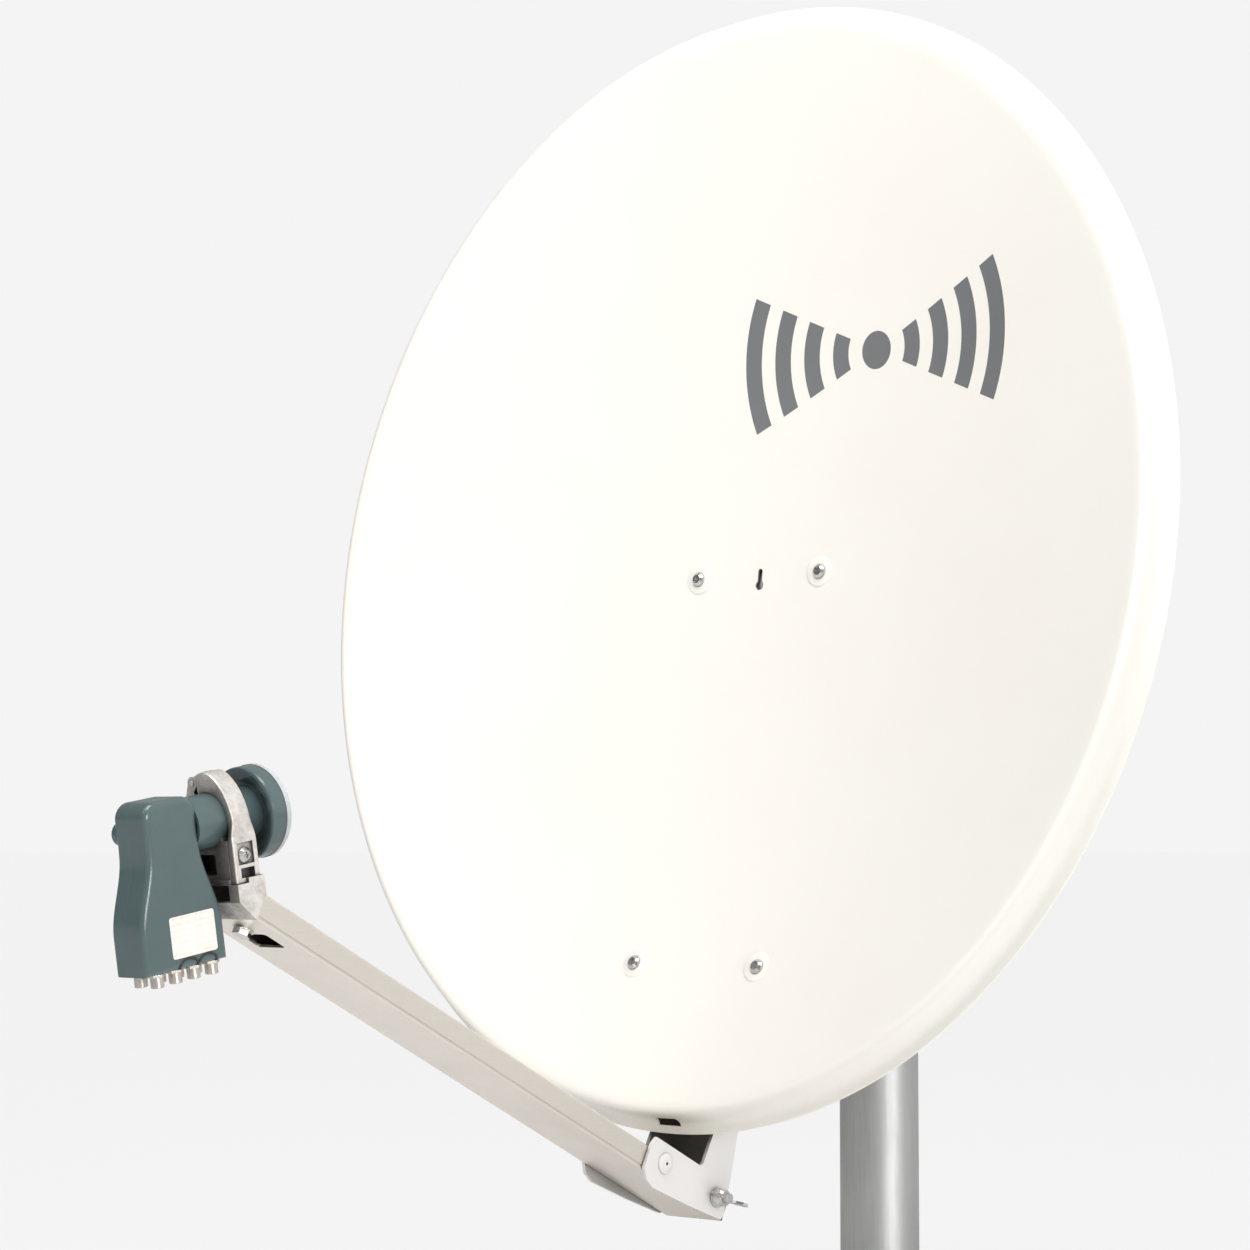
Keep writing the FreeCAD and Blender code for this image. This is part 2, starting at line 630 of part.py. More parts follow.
def feed_arm():
    body = hollow_bar(ARM_WIDTH, ARM_HEIGHT, ARM_WALL, -ARM_FRONT, -ARM_REAR, 1.6)
    near, far, width = CABLE_SLOT
    slot = box(-width / 2, width / 2, -far, -near, -1, ARM_WALL + 1)
    slot = rounded(slot, 3, lambda e, m: runs_along(e, Z_AXIS))
    groove_wide = 1.0
    groove_deep = 0.5
    body = body.cut(slot)
    for x in (-ARM_WIDTH / 2 - 1, ARM_WIDTH / 2 - groove_deep):
        groove = box(x, x + groove_deep + 1, -ARM_FRONT - 1, -ARM_REAR + 1, 2.2, 2.2 + groove_wide)
        body = body.cut(groove)
    through = ARM_WIDTH + 10
    body = body.cut(rod(M8 + RUN_GAP, (-through / 2, -ARM_PIVOT, ARM_HOLE_HEIGHT), X_AXIS, through))
    # The rear seat is open at the top, so that the arm folds up off its lock bolt.
    seat = M8 + 0.15
    body = body.cut(rod(seat, (-through / 2, -ARM_LOCK, ARM_HOLE_HEIGHT), X_AXIS, through))
    way_out = box(-through / 2, through / 2, -ARM_LOCK - seat - 1.2, -ARM_LOCK + seat,
                  ARM_HOLE_HEIGHT, ARM_HEIGHT + 1)
    body = body.cut(way_out)
    return body.cut(rod(M6 + 0.2, (0, -HOLDER_BOLT_ALONG, -1), Z_AXIS, ARM_WALL + 2))


def arm_end_plug():
    """The plastic plug in the arm's rear end, with a round cable hole."""
    fit = 0.1
    inside = ARM_WIDTH / 2 - ARM_WALL - fit
    shank = box(-inside, inside, -ARM_REAR - 8, -ARM_REAR, ARM_WALL + fit, ARM_HEIGHT - ARM_WALL - fit)
    step = 0.4
    flange = box(-ARM_WIDTH / 2 + step, ARM_WIDTH / 2 - step, -ARM_REAR, -ARM_REAR + 1.8,
                 step, ARM_HEIGHT - step)
    body = shank.fuse(flange).removeSplitter()
    return body.cut(rod(5, (0, -ARM_REAR - 9, ARM_HEIGHT / 2), Y_AXIS, 12))


def holder_bolt():
    """The hexagon bolt that holds the LNB holder's tongue in the arm."""
    return hex_bolt(M6, (0, -HOLDER_BOLT_ALONG, -1.2), Z_AXIS, 13, across=12.0, head=4.4)


def holder_bolt_washer():
    return washer(M6, (0, -HOLDER_BOLT_ALONG, -1.2), Z_AXIS, outer=8.0, thick=1.2)


# ---- LNB holder and strap, in the neck's frame: +Y goes along the feed axis to the dish ----
BAND = (-7.0, 10.0)  # the strap's two edges along the neck
CRADLE = (-11.0, 12.0)
PIN_RADIUS = 1.9
KNUCKLE = 4.6
TAB_IN = NECK_RADIUS + 2.0
TAB_OUT = NECK_RADIUS + 7.6
SCREW_DROP = -25.2
GRIP = NECK_RADIUS + RUN_GAP
STRAP_KNUCKLE = (-2.4, 5.4)
HOOK_END = CRADLE[0] + 9  # the end of the hook at the foot of the strap's tab
FOOT_TOP = -41.0  # the holder's wedge foot, under the neck
FOOT_FRONT = -12.5
FOOT_LOW = -57.0
BLOCK_LOW = -44.0
SCREW_RECESS = 2.2


def ring_sector(inner, outer, y0, y1, start, end):
    """A part of a ring around the neck, between two angles from +X towards +Z."""
    ring = tube(outer, inner, (0, y0, 0), Y_AXIS, y1 - y0)
    reach = outer * 3
    steps = 4
    points = [(0, 0)]
    for k in range(steps + 1):
        angle = math.radians(start + (end - start) * k / steps)
        points.append((reach * math.cos(angle), reach * math.sin(angle)))
    wire = Part.makePolygon([Vector(x, y0, z) for x, z in points + points[:1]])
    return ring.common(Part.Face(wire).extrude(Vector(0, y1 - y0, 0)))


def front_outline(points, y0, y1):
    """A block between y0 and y1 whose outline is given as (x, z) points."""
    wire = Part.makePolygon([Vector(x, y0, z) for x, z in points + points[:1]])
    return Part.Face(wire).extrude(Vector(0, y1 - y0, 0))


def arm_end_in_neck_frame(above):
    spot = NECK.inverse().multVec(ARM.multVec(Vector(0, -ARM_FRONT, above)))
    return spot.y, spot.z


def lnb_holder():
    """The die-cast holder: a cradle for the neck, a wedge foot and a tongue inside the arm."""
    low, high = arm_end_in_neck_frame(0), arm_end_in_neck_frame(ARM_HEIGHT)
    half = ARM_WIDTH / 2
    sides = [low, high, (high[0], FOOT_TOP), (FOOT_FRONT, FOOT_TOP), (FOOT_FRONT, FOOT_LOW)]
    foot = side_plate(sides, -half, half)
    foot = rounded(foot, 2, lambda e, m: runs_along(e, X_AXIS) and m.y < 0)
    hollow = side_plate([(FOOT_FRONT - 1, FOOT_TOP - 4), (FOOT_FRONT - 1, FOOT_LOW + 2),
                         (low[0] - 6, low[1] + 7), (4, FOOT_TOP - 4)], -half + 6, half - 10)
    foot = foot.cut(hollow)
    # The hooked end of the strap's tab sits in this notch.
    foot = foot.cut(box(TAB_IN - BODY_GAP, half + 1, FOOT_FRONT - 1, HOOK_END + BODY_GAP,
                        BLOCK_LOW - 0.5, FOOT_TOP + 1))
    face = TAB_IN - 0.3
    block = front_outline([(-24, BLOCK_LOW), (-25.5, -6), (-20, 0), (20, -8), (face, -12), (face, BLOCK_LOW)],
                          CRADLE[0], CRADLE[1])
    arm = ring_sector(GRIP, 26, BAND[0], BAND[1], 119, 200)
    hinge = Vector(HINGE_AT[0], 0, HINGE_AT[1])
    ear_spans = ((BAND[0], STRAP_KNUCKLE[0] - BODY_GAP), (STRAP_KNUCKLE[1] + BODY_GAP, BAND[1]))
    ears = [rod(KNUCKLE, (hinge.x, y0, hinge.z), Y_AXIS, y1 - y0) for y0, y1 in ear_spans]
    links = [front_outline([(-16.6, 26.5), (-20.5, 15.5), (-12.5, 19.5), (-9, 23)], y0, y1)
             for y0, y1 in ear_spans]
    pocket = front_outline([(-20, BLOCK_LOW + 6), (-21, -18), (-9, -23.5), (8, -23.5), (8, BLOCK_LOW + 6)],
                           CRADLE[0] - 1, CRADLE[1] - 4)
    block = block.cut(pocket)
    body = union([foot, block, arm] + ears + links)
    body = body.cut(rod(GRIP, (0, -40, 0), Y_AXIS, 90))
    strap_side = TAB_IN + 3
    strap_room = front_outline([(GRIP - 6, 0), (strap_side, -4), (strap_side, -14), (GRIP - 3, -14)], -20, 20)
    body = body.cut(strap_room)
    body = body.cut(rod(PIN_RADIUS, (hinge.x, -20, hinge.z), Y_AXIS, 40))
    # The strap's knuckle and its screw need room to swing.
    body = body.cut(rod(KNUCKLE + BODY_GAP, (hinge.x, STRAP_KNUCKLE[0] - BODY_GAP, hinge.z), Y_AXIS,
                        STRAP_KNUCKLE[1] - STRAP_KNUCKLE[0] + 2 * BODY_GAP))
    screw_end = 11.4
    way = front_outline([(screw_end, SCREW_DROP - M6 - 0.5), (TAB_IN + 1, SCREW_DROP - M6 - 0.5),
                         (TAB_IN + 1, SCREW_DROP + M6 + 6), (screw_end, SCREW_DROP + M6 + 0.9)],
                        -M6 - 0.3, M6 + 0.3)
    body = body.cut(way)
    return body.fuse(tongue()).removeSplitter()


def tongue():
    """The holder's end that fits inside the arm, with the threaded hole of its bolt."""
    fit = 0.1
    inside = ARM_WIDTH / 2 - ARM_WALL - fit
    length = ARM_FRONT - CABLE_SLOT[1] - 4
    end = -ARM_FRONT + length
    body = box(-inside, inside, -ARM_FRONT - 1, end, ARM_WALL + fit, ARM_HEIGHT - ARM_WALL - fit)
    for x0, x1 in ((-inside + 4, -8), (8, inside - 4)):
        body = body.cut(box(x0, x1, -ARM_FRONT + 4, end + 1, ARM_WALL + 3, ARM_HEIGHT))
    body = body.cut(rod(M6, (0, -HOLDER_BOLT_ALONG, 0), Z_AXIS, ARM_HEIGHT + 2))
    return moved(body, NECK.inverse().multiply(ARM))


def hinge_pin():
    length = BAND[1] - BAND[0] + 1.6
    return rod(PIN_RADIUS, (HINGE_AT[0], BAND[0] - 0.8, HINGE_AT[1]), Y_AXIS, length)


def clamp_strap():
    """The hinged upper half of the clamp: a thick band, and a tab with a screw recess and a hooked end."""
    hinge_x, hinge_z = HINGE_AT
    outer = [(hinge_x + 1.5, hinge_z + KNUCKLE), (-3, 35.2), (3, 35), (9, 31), (16, 23.5), (21.5, 15),
             (25.5, 5), (26.4, -4), (26.4, -14)]
    inner = [(TAB_IN, -14), (GRIP - 0.6, -5), (GRIP - 3, 0), (0, GRIP - 3), (-6.5, GRIP - 3), (-7.4, 24)]
    band = front_outline(outer + inner, BAND[0], BAND[1])
    near, far = STRAP_KNUCKLE
    knuckle = rod(KNUCKLE, (hinge_x, near, hinge_z), Y_AXIS, far - near)
    link = [(hinge_x, hinge_z + KNUCKLE), (-3, 35), (-6, 23), (hinge_x + 1, 23.6)]
    neck_link = front_outline(link, near, far)
    tab = box(TAB_IN, TAB_OUT, CRADLE[0], CRADLE[1], -33.5, -12)
    shoulder = front_outline([(20.4, -9), (26.4, -6), (TAB_OUT, -13.5), (TAB_IN, -13.5)],
                             CRADLE[0] + 1, CRADLE[1] - 1)
    leg = 5.0
    legs = [box(TAB_IN, TAB_OUT, CRADLE[0], CRADLE[0] + leg, BLOCK_LOW, -33),
            box(TAB_IN, TAB_OUT, CRADLE[1] - leg, CRADLE[1], FOOT_TOP, -33),
            box(TAB_IN, TAB_OUT, CRADLE[0], HOOK_END, BLOCK_LOW, FOOT_TOP)]
    body = union([band, knuckle, neck_link, tab, shoulder] + legs)
    body = body.cut(rod(GRIP, (0, -40, 0), Y_AXIS, 90))
    ear_room = KNUCKLE + BODY_GAP
    for y0, y1 in ((BAND[0] - 1, near), (far, BAND[1] + 1)):
        body = body.cut(rod(ear_room, (hinge_x, y0, hinge_z), Y_AXIS, y1 - y0))
    body = body.cut(rod(PIN_RADIUS + RUN_GAP, (hinge_x, -20, hinge_z), Y_AXIS, 40))
    recess = box(TAB_OUT - SCREW_RECESS, TAB_OUT + 1, -7.4, 7.6, -31.5, -16)
    body = body.cut(recess)
    body = body.cut(rod(M6, (TAB_IN - 1, 0, SCREW_DROP), X_AXIS, 10))
    return body


def strap_screw():
    """The captive pan-head screw of the strap."""
    seat = TAB_OUT - SCREW_RECESS
    return pan_screw(M6, (seat, 0, SCREW_DROP), Vector(-1, 0, 0), seat - 12.5, head_radius=5.6, head=3.4)


# ---- LNB, in the neck's frame ----
COLLAR_BACK = 25.0
COLLAR_FRONT = 38.0
COLLAR_RADIUS = 33.5
SLEEVE_INNER = 17.4


def lnb_neck():
    return tube(NECK_RADIUS, SLEEVE_INNER, (0, NECK_REAR, 0), Y_AXIS, COLLAR_BACK + 3 - NECK_REAR)


def feed_collar():
    """The plastic ring around the horn, with a recessed back face."""
    points = [(NECK_RADIUS, COLLAR_BACK + 3), (NECK_RADIUS + 2.5, COLLAR_BACK + 3),
              (NECK_RADIUS + 7.5, COLLAR_BACK + 1),
              (COLLAR_RADIUS - 2.5, COLLAR_BACK), (COLLAR_RADIUS - 0.6, COLLAR_BACK + 0.6),
              (COLLAR_RADIUS, COLLAR_BACK + 2.2), (COLLAR_RADIUS, COLLAR_FRONT), (31, COLLAR_FRONT),
              (31, COLLAR_BACK + 5.5), (SLEEVE_INNER, COLLAR_BACK + 5.5), (SLEEVE_INNER, COLLAR_BACK + 3)]
    return turned(points, (0, 0, 0), Y_AXIS)


def feed_cap():
    """The translucent cap that closes the horn."""
    radius = COLLAR_RADIUS + 0.5
    points = [(30.9, -4), (30.9, 0), (radius, 0), (radius, 3.4), (radius - 1.3, 5.2), (24, 6.4), (0, 7),
              (0, 5.4), (24, 4.8), (29.4, 3.6), (29.4, -4)]
    return turned(points, (0, COLLAR_FRONT, 0), Y_AXIS)


def waveguide():
    """The metal tube and corrugated horn inside the plastic neck."""
    floor = COLLAR_BACK + 10  # the bottom of the horn's rings
    points = [(9.5, -34), (13, -34), (13, COLLAR_BACK + 6), (27.5, COLLAR_BACK + 8),
              (27.5, COLLAR_FRONT - 1), (25.5, COLLAR_FRONT - 1), (25.5, floor),
              (22.5, floor), (22.5, COLLAR_FRONT - 2), (20.5, COLLAR_FRONT - 2), (20.5, floor),
              (17, floor), (17, COLLAR_FRONT - 3), (14.5, COLLAR_FRONT - 3), (9.5, COLLAR_BACK + 6)]
    return turned(points, (0, 0, 0), Y_AXIS)


def case_half_width(z):
    """The bottle-shaped casing's half width at a height: narrow above, wide below, smooth between."""
    narrow, wide = 24.0, 37.3
    high, low = -12.0, -68.0
    t = min(1.0, max(0.0, (high - z) / (high - low)))
    return narrow + (wide - narrow) * t * t * (3 - 2 * t)


CASE_TOP = 23.0
CASE_BOTTOM = -95.0


def case_face(x, inset):
    """The casing's outline in the plane x, moved in by the inset, as a face."""
    heights = [CASE_BOTTOM + inset, -68, -58, -48, -40, -32, -22, -12, 8]
    top = CASE_TOP - inset
    right = [Vector(x, CASE_MIDDLE + case_half_width(z) - inset, z) for z in heights]
    left = [Vector(x, CASE_MIDDLE - case_half_width(z) + inset, z) for z in heights]
    corner = 12.0 - inset

    def side(points):
        curve = Part.BSplineCurve()
        curve.interpolate(points[1:])
        return [Part.makeLine(points[0], points[1]), curve.toShape()]

    half = case_half_width(8) - inset
    turn = corner * (1 - math.sqrt(0.5))
    arcs = []
    for sign, end in ((1, right[-1]), (-1, left[-1])):
        start = Vector(x, CASE_MIDDLE + sign * half, top - corner)
        middle = Vector(x, CASE_MIDDLE + sign * (half - turn), top - turn)
        stop = Vector(x, CASE_MIDDLE + sign * (half - corner), top)
        arcs.append((Part.makeLine(end, start), Part.Arc(start, middle, stop).toShape(), stop))
    crown = Part.makeLine(arcs[0][2], arcs[1][2])
    edges = side(right) + [arcs[0][0], arcs[0][1], crown, arcs[1][1], arcs[1][0]]
    edges += side(left) + [Part.makeLine(left[0], right[0])]
    return Part.Face(Part.Wire(Part.__sortEdges__(edges)))


CONNECTOR_MIDDLE = -52.0
OUTPUTS = [(x, CONNECTOR_MIDDLE + (k - 1.5) * CONNECTOR_PITCH)
           for x in (-CONNECTOR_ROW, CONNECTOR_ROW) for k in range(4)]


def case_shell(side):
    """One half of the casing: -1 is the left shell and +1 the right shell."""
    face_x = side * CASE_HALF_THICK
    solid = case_face(CASE_SPLIT, 0).extrude(Vector(face_x - CASE_SPLIT, 0, 0))
    solid = rounded(solid, 4.5, lambda e, m: abs(m.x - face_x) < 0.01)
    inner_x = face_x - side * CASE_WALL
    hollow = case_face(CASE_SPLIT, CASE_WALL).extrude(Vector(inner_x - CASE_SPLIT, 0, 0))
    solid = solid.cut(hollow)
    solid = solid.cut(rod(NECK_RADIUS, (0, NECK_REAR, 0), Y_AXIS, 12))
    for x, y in OUTPUTS:
        solid = solid.cut(rod(4.9, (x, y, CASE_BOTTOM - 3), Z_AXIS, 8))
    if side < 0:
        solid = solid.cut(rod(CASE_PLUG_STEM + 0.1, (face_x - 1, *CASE_PLUG_AT), X_AXIS, 6))
        for y, z in SHELL_SCREWS:
            solid = solid.cut(rod(1.6, (face_x - 1, y, z), X_AXIS, 6))
    return solid


CASE_PLUG_RADIUS = 8.4
CASE_PLUG_AT = (CASE_MIDDLE - 13.1, 1.0)
CASE_PLUG_STEM = CASE_PLUG_RADIUS - 2.6
NECK_REAR = CASE_MIDDLE + case_half_width(0) - CASE_WALL - 0.2
SHELL_SCREWS = [(CASE_MIDDLE - 16, 12.0), (CASE_MIDDLE + 16, 12.0),
                (CASE_MIDDLE - 29, -80.0), (CASE_MIDDLE + 29, -80.0)]


def casing_seal():
    """The thin gasket between the shells."""
    groove = 0.9
    outer = case_face(CASE_SPLIT - groove / 2, CASE_WALL + 0.1).extrude(Vector(groove, 0, 0))
    inner = case_face(CASE_SPLIT - groove / 2, CASE_WALL + 1.3).extrude(Vector(groove, 0, 0))
    ring = outer.cut(inner)
    ring = ring.cut(rod(NECK_RADIUS + 0.2, (0, -50, 0), Y_AXIS, 40))
    return max(ring.Solids, key=lambda s: s.Volume)


def case_plug():
    """A round plug that closes the test opening in the left shell."""
    radius = CASE_PLUG_RADIUS
    points = [(0, 1.9), (CASE_PLUG_STEM, 1.9), (CASE_PLUG_STEM, 0), (radius, -0.05), (radius, -5.6),
              (radius - 1.4, -7.2), (0, -7.6)]
    return turned(points, (-CASE_HALF_THICK, *CASE_PLUG_AT), X_AXIS)


def shell_screws():
    screws = []
    for y, z in SHELL_SCREWS:
        seat = -CASE_HALF_THICK
        screws.append(pan_screw(1.5, (seat, y, z), X_AXIS, 6, head_radius=2.8, head=1.8))
    return Part.makeCompound(screws)


def circuit_board():
    board = box(4, 5.6, CASE_MIDDLE - 20, CASE_MIDDLE + 16, -60, 12)
    lower = box(4, 5.6, CASE_MIDDLE - 33, CASE_MIDDLE + 31, -84, -60)
    return board.fuse(lower).removeSplitter().cut(rod(14, (0, -45, 0), Y_AXIS, 20))


def feed_probes():
    """The two pins that pick up the two polarisations inside the waveguide."""
    upright = rod(0.6, (0, -31, -9.3), Z_AXIS, 5.5)
    level = rod(0.6, (-9.3, -26, 0), X_AXIS, 5.5)
    return Part.makeCompound([upright, level])


def f_outputs():
    """Eight threaded output sockets under the casing."""
    pieces = []
    for x, y in OUTPUTS:
        body = tube(4.75, 3.4, (x, y, CASE_BOTTOM - 9.6), Z_AXIS, 9.6 + 5)
        base = hexagon(11.0, (x, y, CASE_BOTTOM - 2.2), Z_AXIS, 2.2)
        pieces.append(body.fuse(base.cut(rod(4.75, (x, y, CASE_BOTTOM - 3), Z_AXIS, 4))).removeSplitter())
    return Part.makeCompound(pieces)


def output_insulators():
    return Part.makeCompound([tube(3.4, 0.5, (x, y, CASE_BOTTOM - 8), Z_AXIS, 9) for x, y in OUTPUTS])


def output_contacts():
    return Part.makeCompound([rod(0.5, (x, y, CASE_BOTTOM - 7), Z_AXIS, 12) for x, y in OUTPUTS])


def blank_label():
    plate = box(CASE_HALF_THICK, CASE_HALF_THICK + 0.3, -67.5, -26.5, -87, -58)
    return rounded(plate, 2, lambda e, m: runs_along(e, X_AXIS))


def main():
    os.makedirs("parts", exist_ok=True)
    save("mast_tube", mast_tube())
    save("mast_cap", mast_cap())

    save("mast_saddle", mast_saddle())
    save("tilt_yoke", tilt_yoke())
    save("upper_mast_jaw", mast_jaw(JAW_HEIGHTS[0]))
    save("lower_mast_jaw", mast_jaw(JAW_HEIGHTS[1]))
    save("clamp_bolts", clamp_bolts())
    save("clamp_washers", clamp_washers())
    save("clamp_nuts", clamp_nuts())
    save("elevation_pivot_bolt", cross_bolt(PIVOT))
    save("elevation_pivot_nut", cross_nut(PIVOT))
    save("elevation_lock_bolt", cross_bolt(LOCK))
    save("elevation_lock_nut", cross_nut(LOCK))
    save("elevation_washers", elevation_washers())

    save("reflector", reflector(), DISH)
    save("reflector_screws", reflector_screws(), DISH)
    save("reflector_spacers", reflector_spacers(), DISH)
    save("reflector_nuts", reflector_nuts(), DISH)
    save("upper_cross_plate", cross_plate(UPPER_SCREWS_Z), DISH)
    save("lower_cross_plate", cross_plate(LOWER_SCREWS_Z), DISH)
    save("back_spine", back_spine(), DISH)
    save("arm_pivot_rivet", arm_pivot_rivet(), ARM)
    save("arm_lock_bolt", arm_lock_bolt(), ARM)
    save("arm_lock_washer", arm_lock_washer(), ARM)
    save("wing_nut", wing_nut(), ARM)

    save("feed_arm", feed_arm(), ARM)
    save("arm_end_plug", arm_end_plug(), ARM)
    save("holder_bolt", holder_bolt(), ARM)
    save("holder_bolt_washer", holder_bolt_washer(), ARM)
    save("lnb_holder", lnb_holder(), NECK)
    save("strap_hinge_pin", hinge_pin(), NECK)
    save("clamp_strap", clamp_strap(), NECK)
    save("strap_screw", strap_screw(), NECK)

    save("lnb_neck", lnb_neck(), NECK)
    save("feed_collar", feed_collar(), NECK)
    save("feed_cap", feed_cap(), NECK)
    save("waveguide_horn", waveguide(), NECK)
    save("left_case_shell", case_shell(-1), NECK)
    save("right_case_shell", case_shell(1), NECK)
    save("casing_seal", casing_seal(), NECK)
    save("case_plug", case_plug(), NECK)
    save("shell_screws", shell_screws(), NECK)
    save("circuit_board", circuit_board(), NECK)
    save("feed_probes", feed_probes(), NECK)
    save("f_outputs", f_outputs(), NECK)
    save("output_insulators", output_insulators(), NECK)
    save("output_contacts", output_contacts(), NECK)
    save("blank_label", blank_label(), NECK)


main()
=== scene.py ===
import json
import math

import bmesh
import bpy
from mathutils import Matrix, Vector

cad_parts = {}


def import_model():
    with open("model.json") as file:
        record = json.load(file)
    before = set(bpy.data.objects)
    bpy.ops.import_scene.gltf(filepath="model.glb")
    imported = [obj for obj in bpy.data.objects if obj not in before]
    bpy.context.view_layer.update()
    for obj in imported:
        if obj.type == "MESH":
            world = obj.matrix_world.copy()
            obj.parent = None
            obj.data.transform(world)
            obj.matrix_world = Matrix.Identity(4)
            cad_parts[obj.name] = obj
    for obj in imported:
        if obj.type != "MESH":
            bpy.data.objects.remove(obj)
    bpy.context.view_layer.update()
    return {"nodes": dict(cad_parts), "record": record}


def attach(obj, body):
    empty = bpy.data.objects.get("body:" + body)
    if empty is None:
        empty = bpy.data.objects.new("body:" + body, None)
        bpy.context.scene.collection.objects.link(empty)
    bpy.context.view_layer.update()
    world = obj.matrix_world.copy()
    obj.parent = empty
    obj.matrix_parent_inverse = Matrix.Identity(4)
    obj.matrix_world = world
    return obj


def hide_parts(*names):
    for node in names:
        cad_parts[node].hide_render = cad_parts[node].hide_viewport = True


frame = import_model()

MM = 0.001


# ---------------------------------------------------------------- frames and sizes, in millimetres
def shift(x, y, z):
    """A move by millimetres."""
    return Matrix.Translation(Vector((x, y, z)) * MM)


def tilt(degrees, axis="X"):
    """A turn about an axis of the frame."""
    return Matrix.Rotation(math.radians(degrees), 4, axis)


def at(matrix, x, y, z):
    """A point in millimetres of one of the frames, as a point of the scene."""
    return matrix @ (Vector((x, y, z)) * MM)


NECK_TILT = 9.5  # degrees that the LNB's neck rises towards the dish
ARM_SLOPE = 26.37  # degrees that the feed arm rises away from the dish
DISH = shift(0, -248, 720) @ tilt(-8.05)  # the middle of the rim, with Y into the bowl
NECK = shift(0, -791, 491) @ tilt(NECK_TILT)  # the neck, with Y along its axis towards the dish

# The bowl is a paraboloid that a tilted plane cuts, so that its rim is an ellipse.
HALF_WIDTH = 425.0
HALF_HEIGHT = 465.0
FOCAL = 510.0
SHEET = 2.4
OFFSET = math.acos(HALF_WIDTH / HALF_HEIGHT)  # the tilt of that plane
BOWL = HALF_WIDTH ** 2 / (4 * FOCAL)  # the depth along the paraboloid's axis

SCREW_X = 66.0  # the reflector's screws, to each side
SCREW_ROWS = (-6.0, -346.0)  # and their heights in the rim plane

NECK_R = 20.0
CASE_X = 17.0  # the casing's right face in the neck's frame
CASE_BOTTOM = -95.0
CASE_FILLET = 4.5


# ---------------------------------------------------------------- node trees
class Tree:
    """Fills the node tree of a material or of the surroundings."""

    def __init__(self, owner):
        owner.use_nodes = True
        self.tree = owner.node_tree
        self.tree.nodes.clear()

    def add(self, kind, **settings):
        node = self.tree.nodes.new(kind)
        for key, value in settings.items():
            setattr(node, key, value)
        return node

    def link(self, output, socket):
        self.tree.links.new(output, socket)

    def put(self, socket, value):
        """Link an output to a socket, or set a plain value on it."""
        if hasattr(value, "is_output"):
            self.link(value, socket)
        else:
            socket.default_value = value

    def calc(self, operation, a, b):
        node = self.add("ShaderNodeMath", operation=operation)
        self.put(node.inputs[0], a)
        self.put(node.inputs[1], b)
        return node.outputs["Value"]

    def times(self, a, b):
        return self.calc("MULTIPLY", a, b)

    def plus(self, a, b):
        return self.calc("ADD", a, b)

    def spread(self, value, lo, hi, to_lo=0.0, to_hi=1.0):
        """Stretch the values from lo to hi over another range, and stop at its ends."""
        node = self.add("ShaderNodeMapRange", clamp=True)
        self.put(node.inputs["Value"], value)
        node.inputs["From Min"].default_value = lo
        node.inputs["From Max"].default_value = hi
        node.inputs["To Min"].default_value = to_lo
        node.inputs["To Max"].default_value = to_hi
        return node.outputs["Result"]

    def dot(self, a, b):
        node = self.add("ShaderNodeVectorMath", operation="DOT_PRODUCT")
        self.put(node.inputs[0], a)
        self.put(node.inputs[1], b)
        return node.outputs["Value"]

    def split_view(self, lighting, seen, out):
        """Light the scene with one shader, and show the other where it is looked at directly."""
        path = self.add("ShaderNodeLightPath")
        mix = self.add("ShaderNodeMixShader")
        self.link(path.outputs["Is Camera Ray"], mix.inputs["Fac"])
        self.link(lighting, mix.inputs[1])
        self.link(seen, mix.inputs[2])
        self.link(mix.outputs["Shader"], self.add(out).inputs["Surface"])


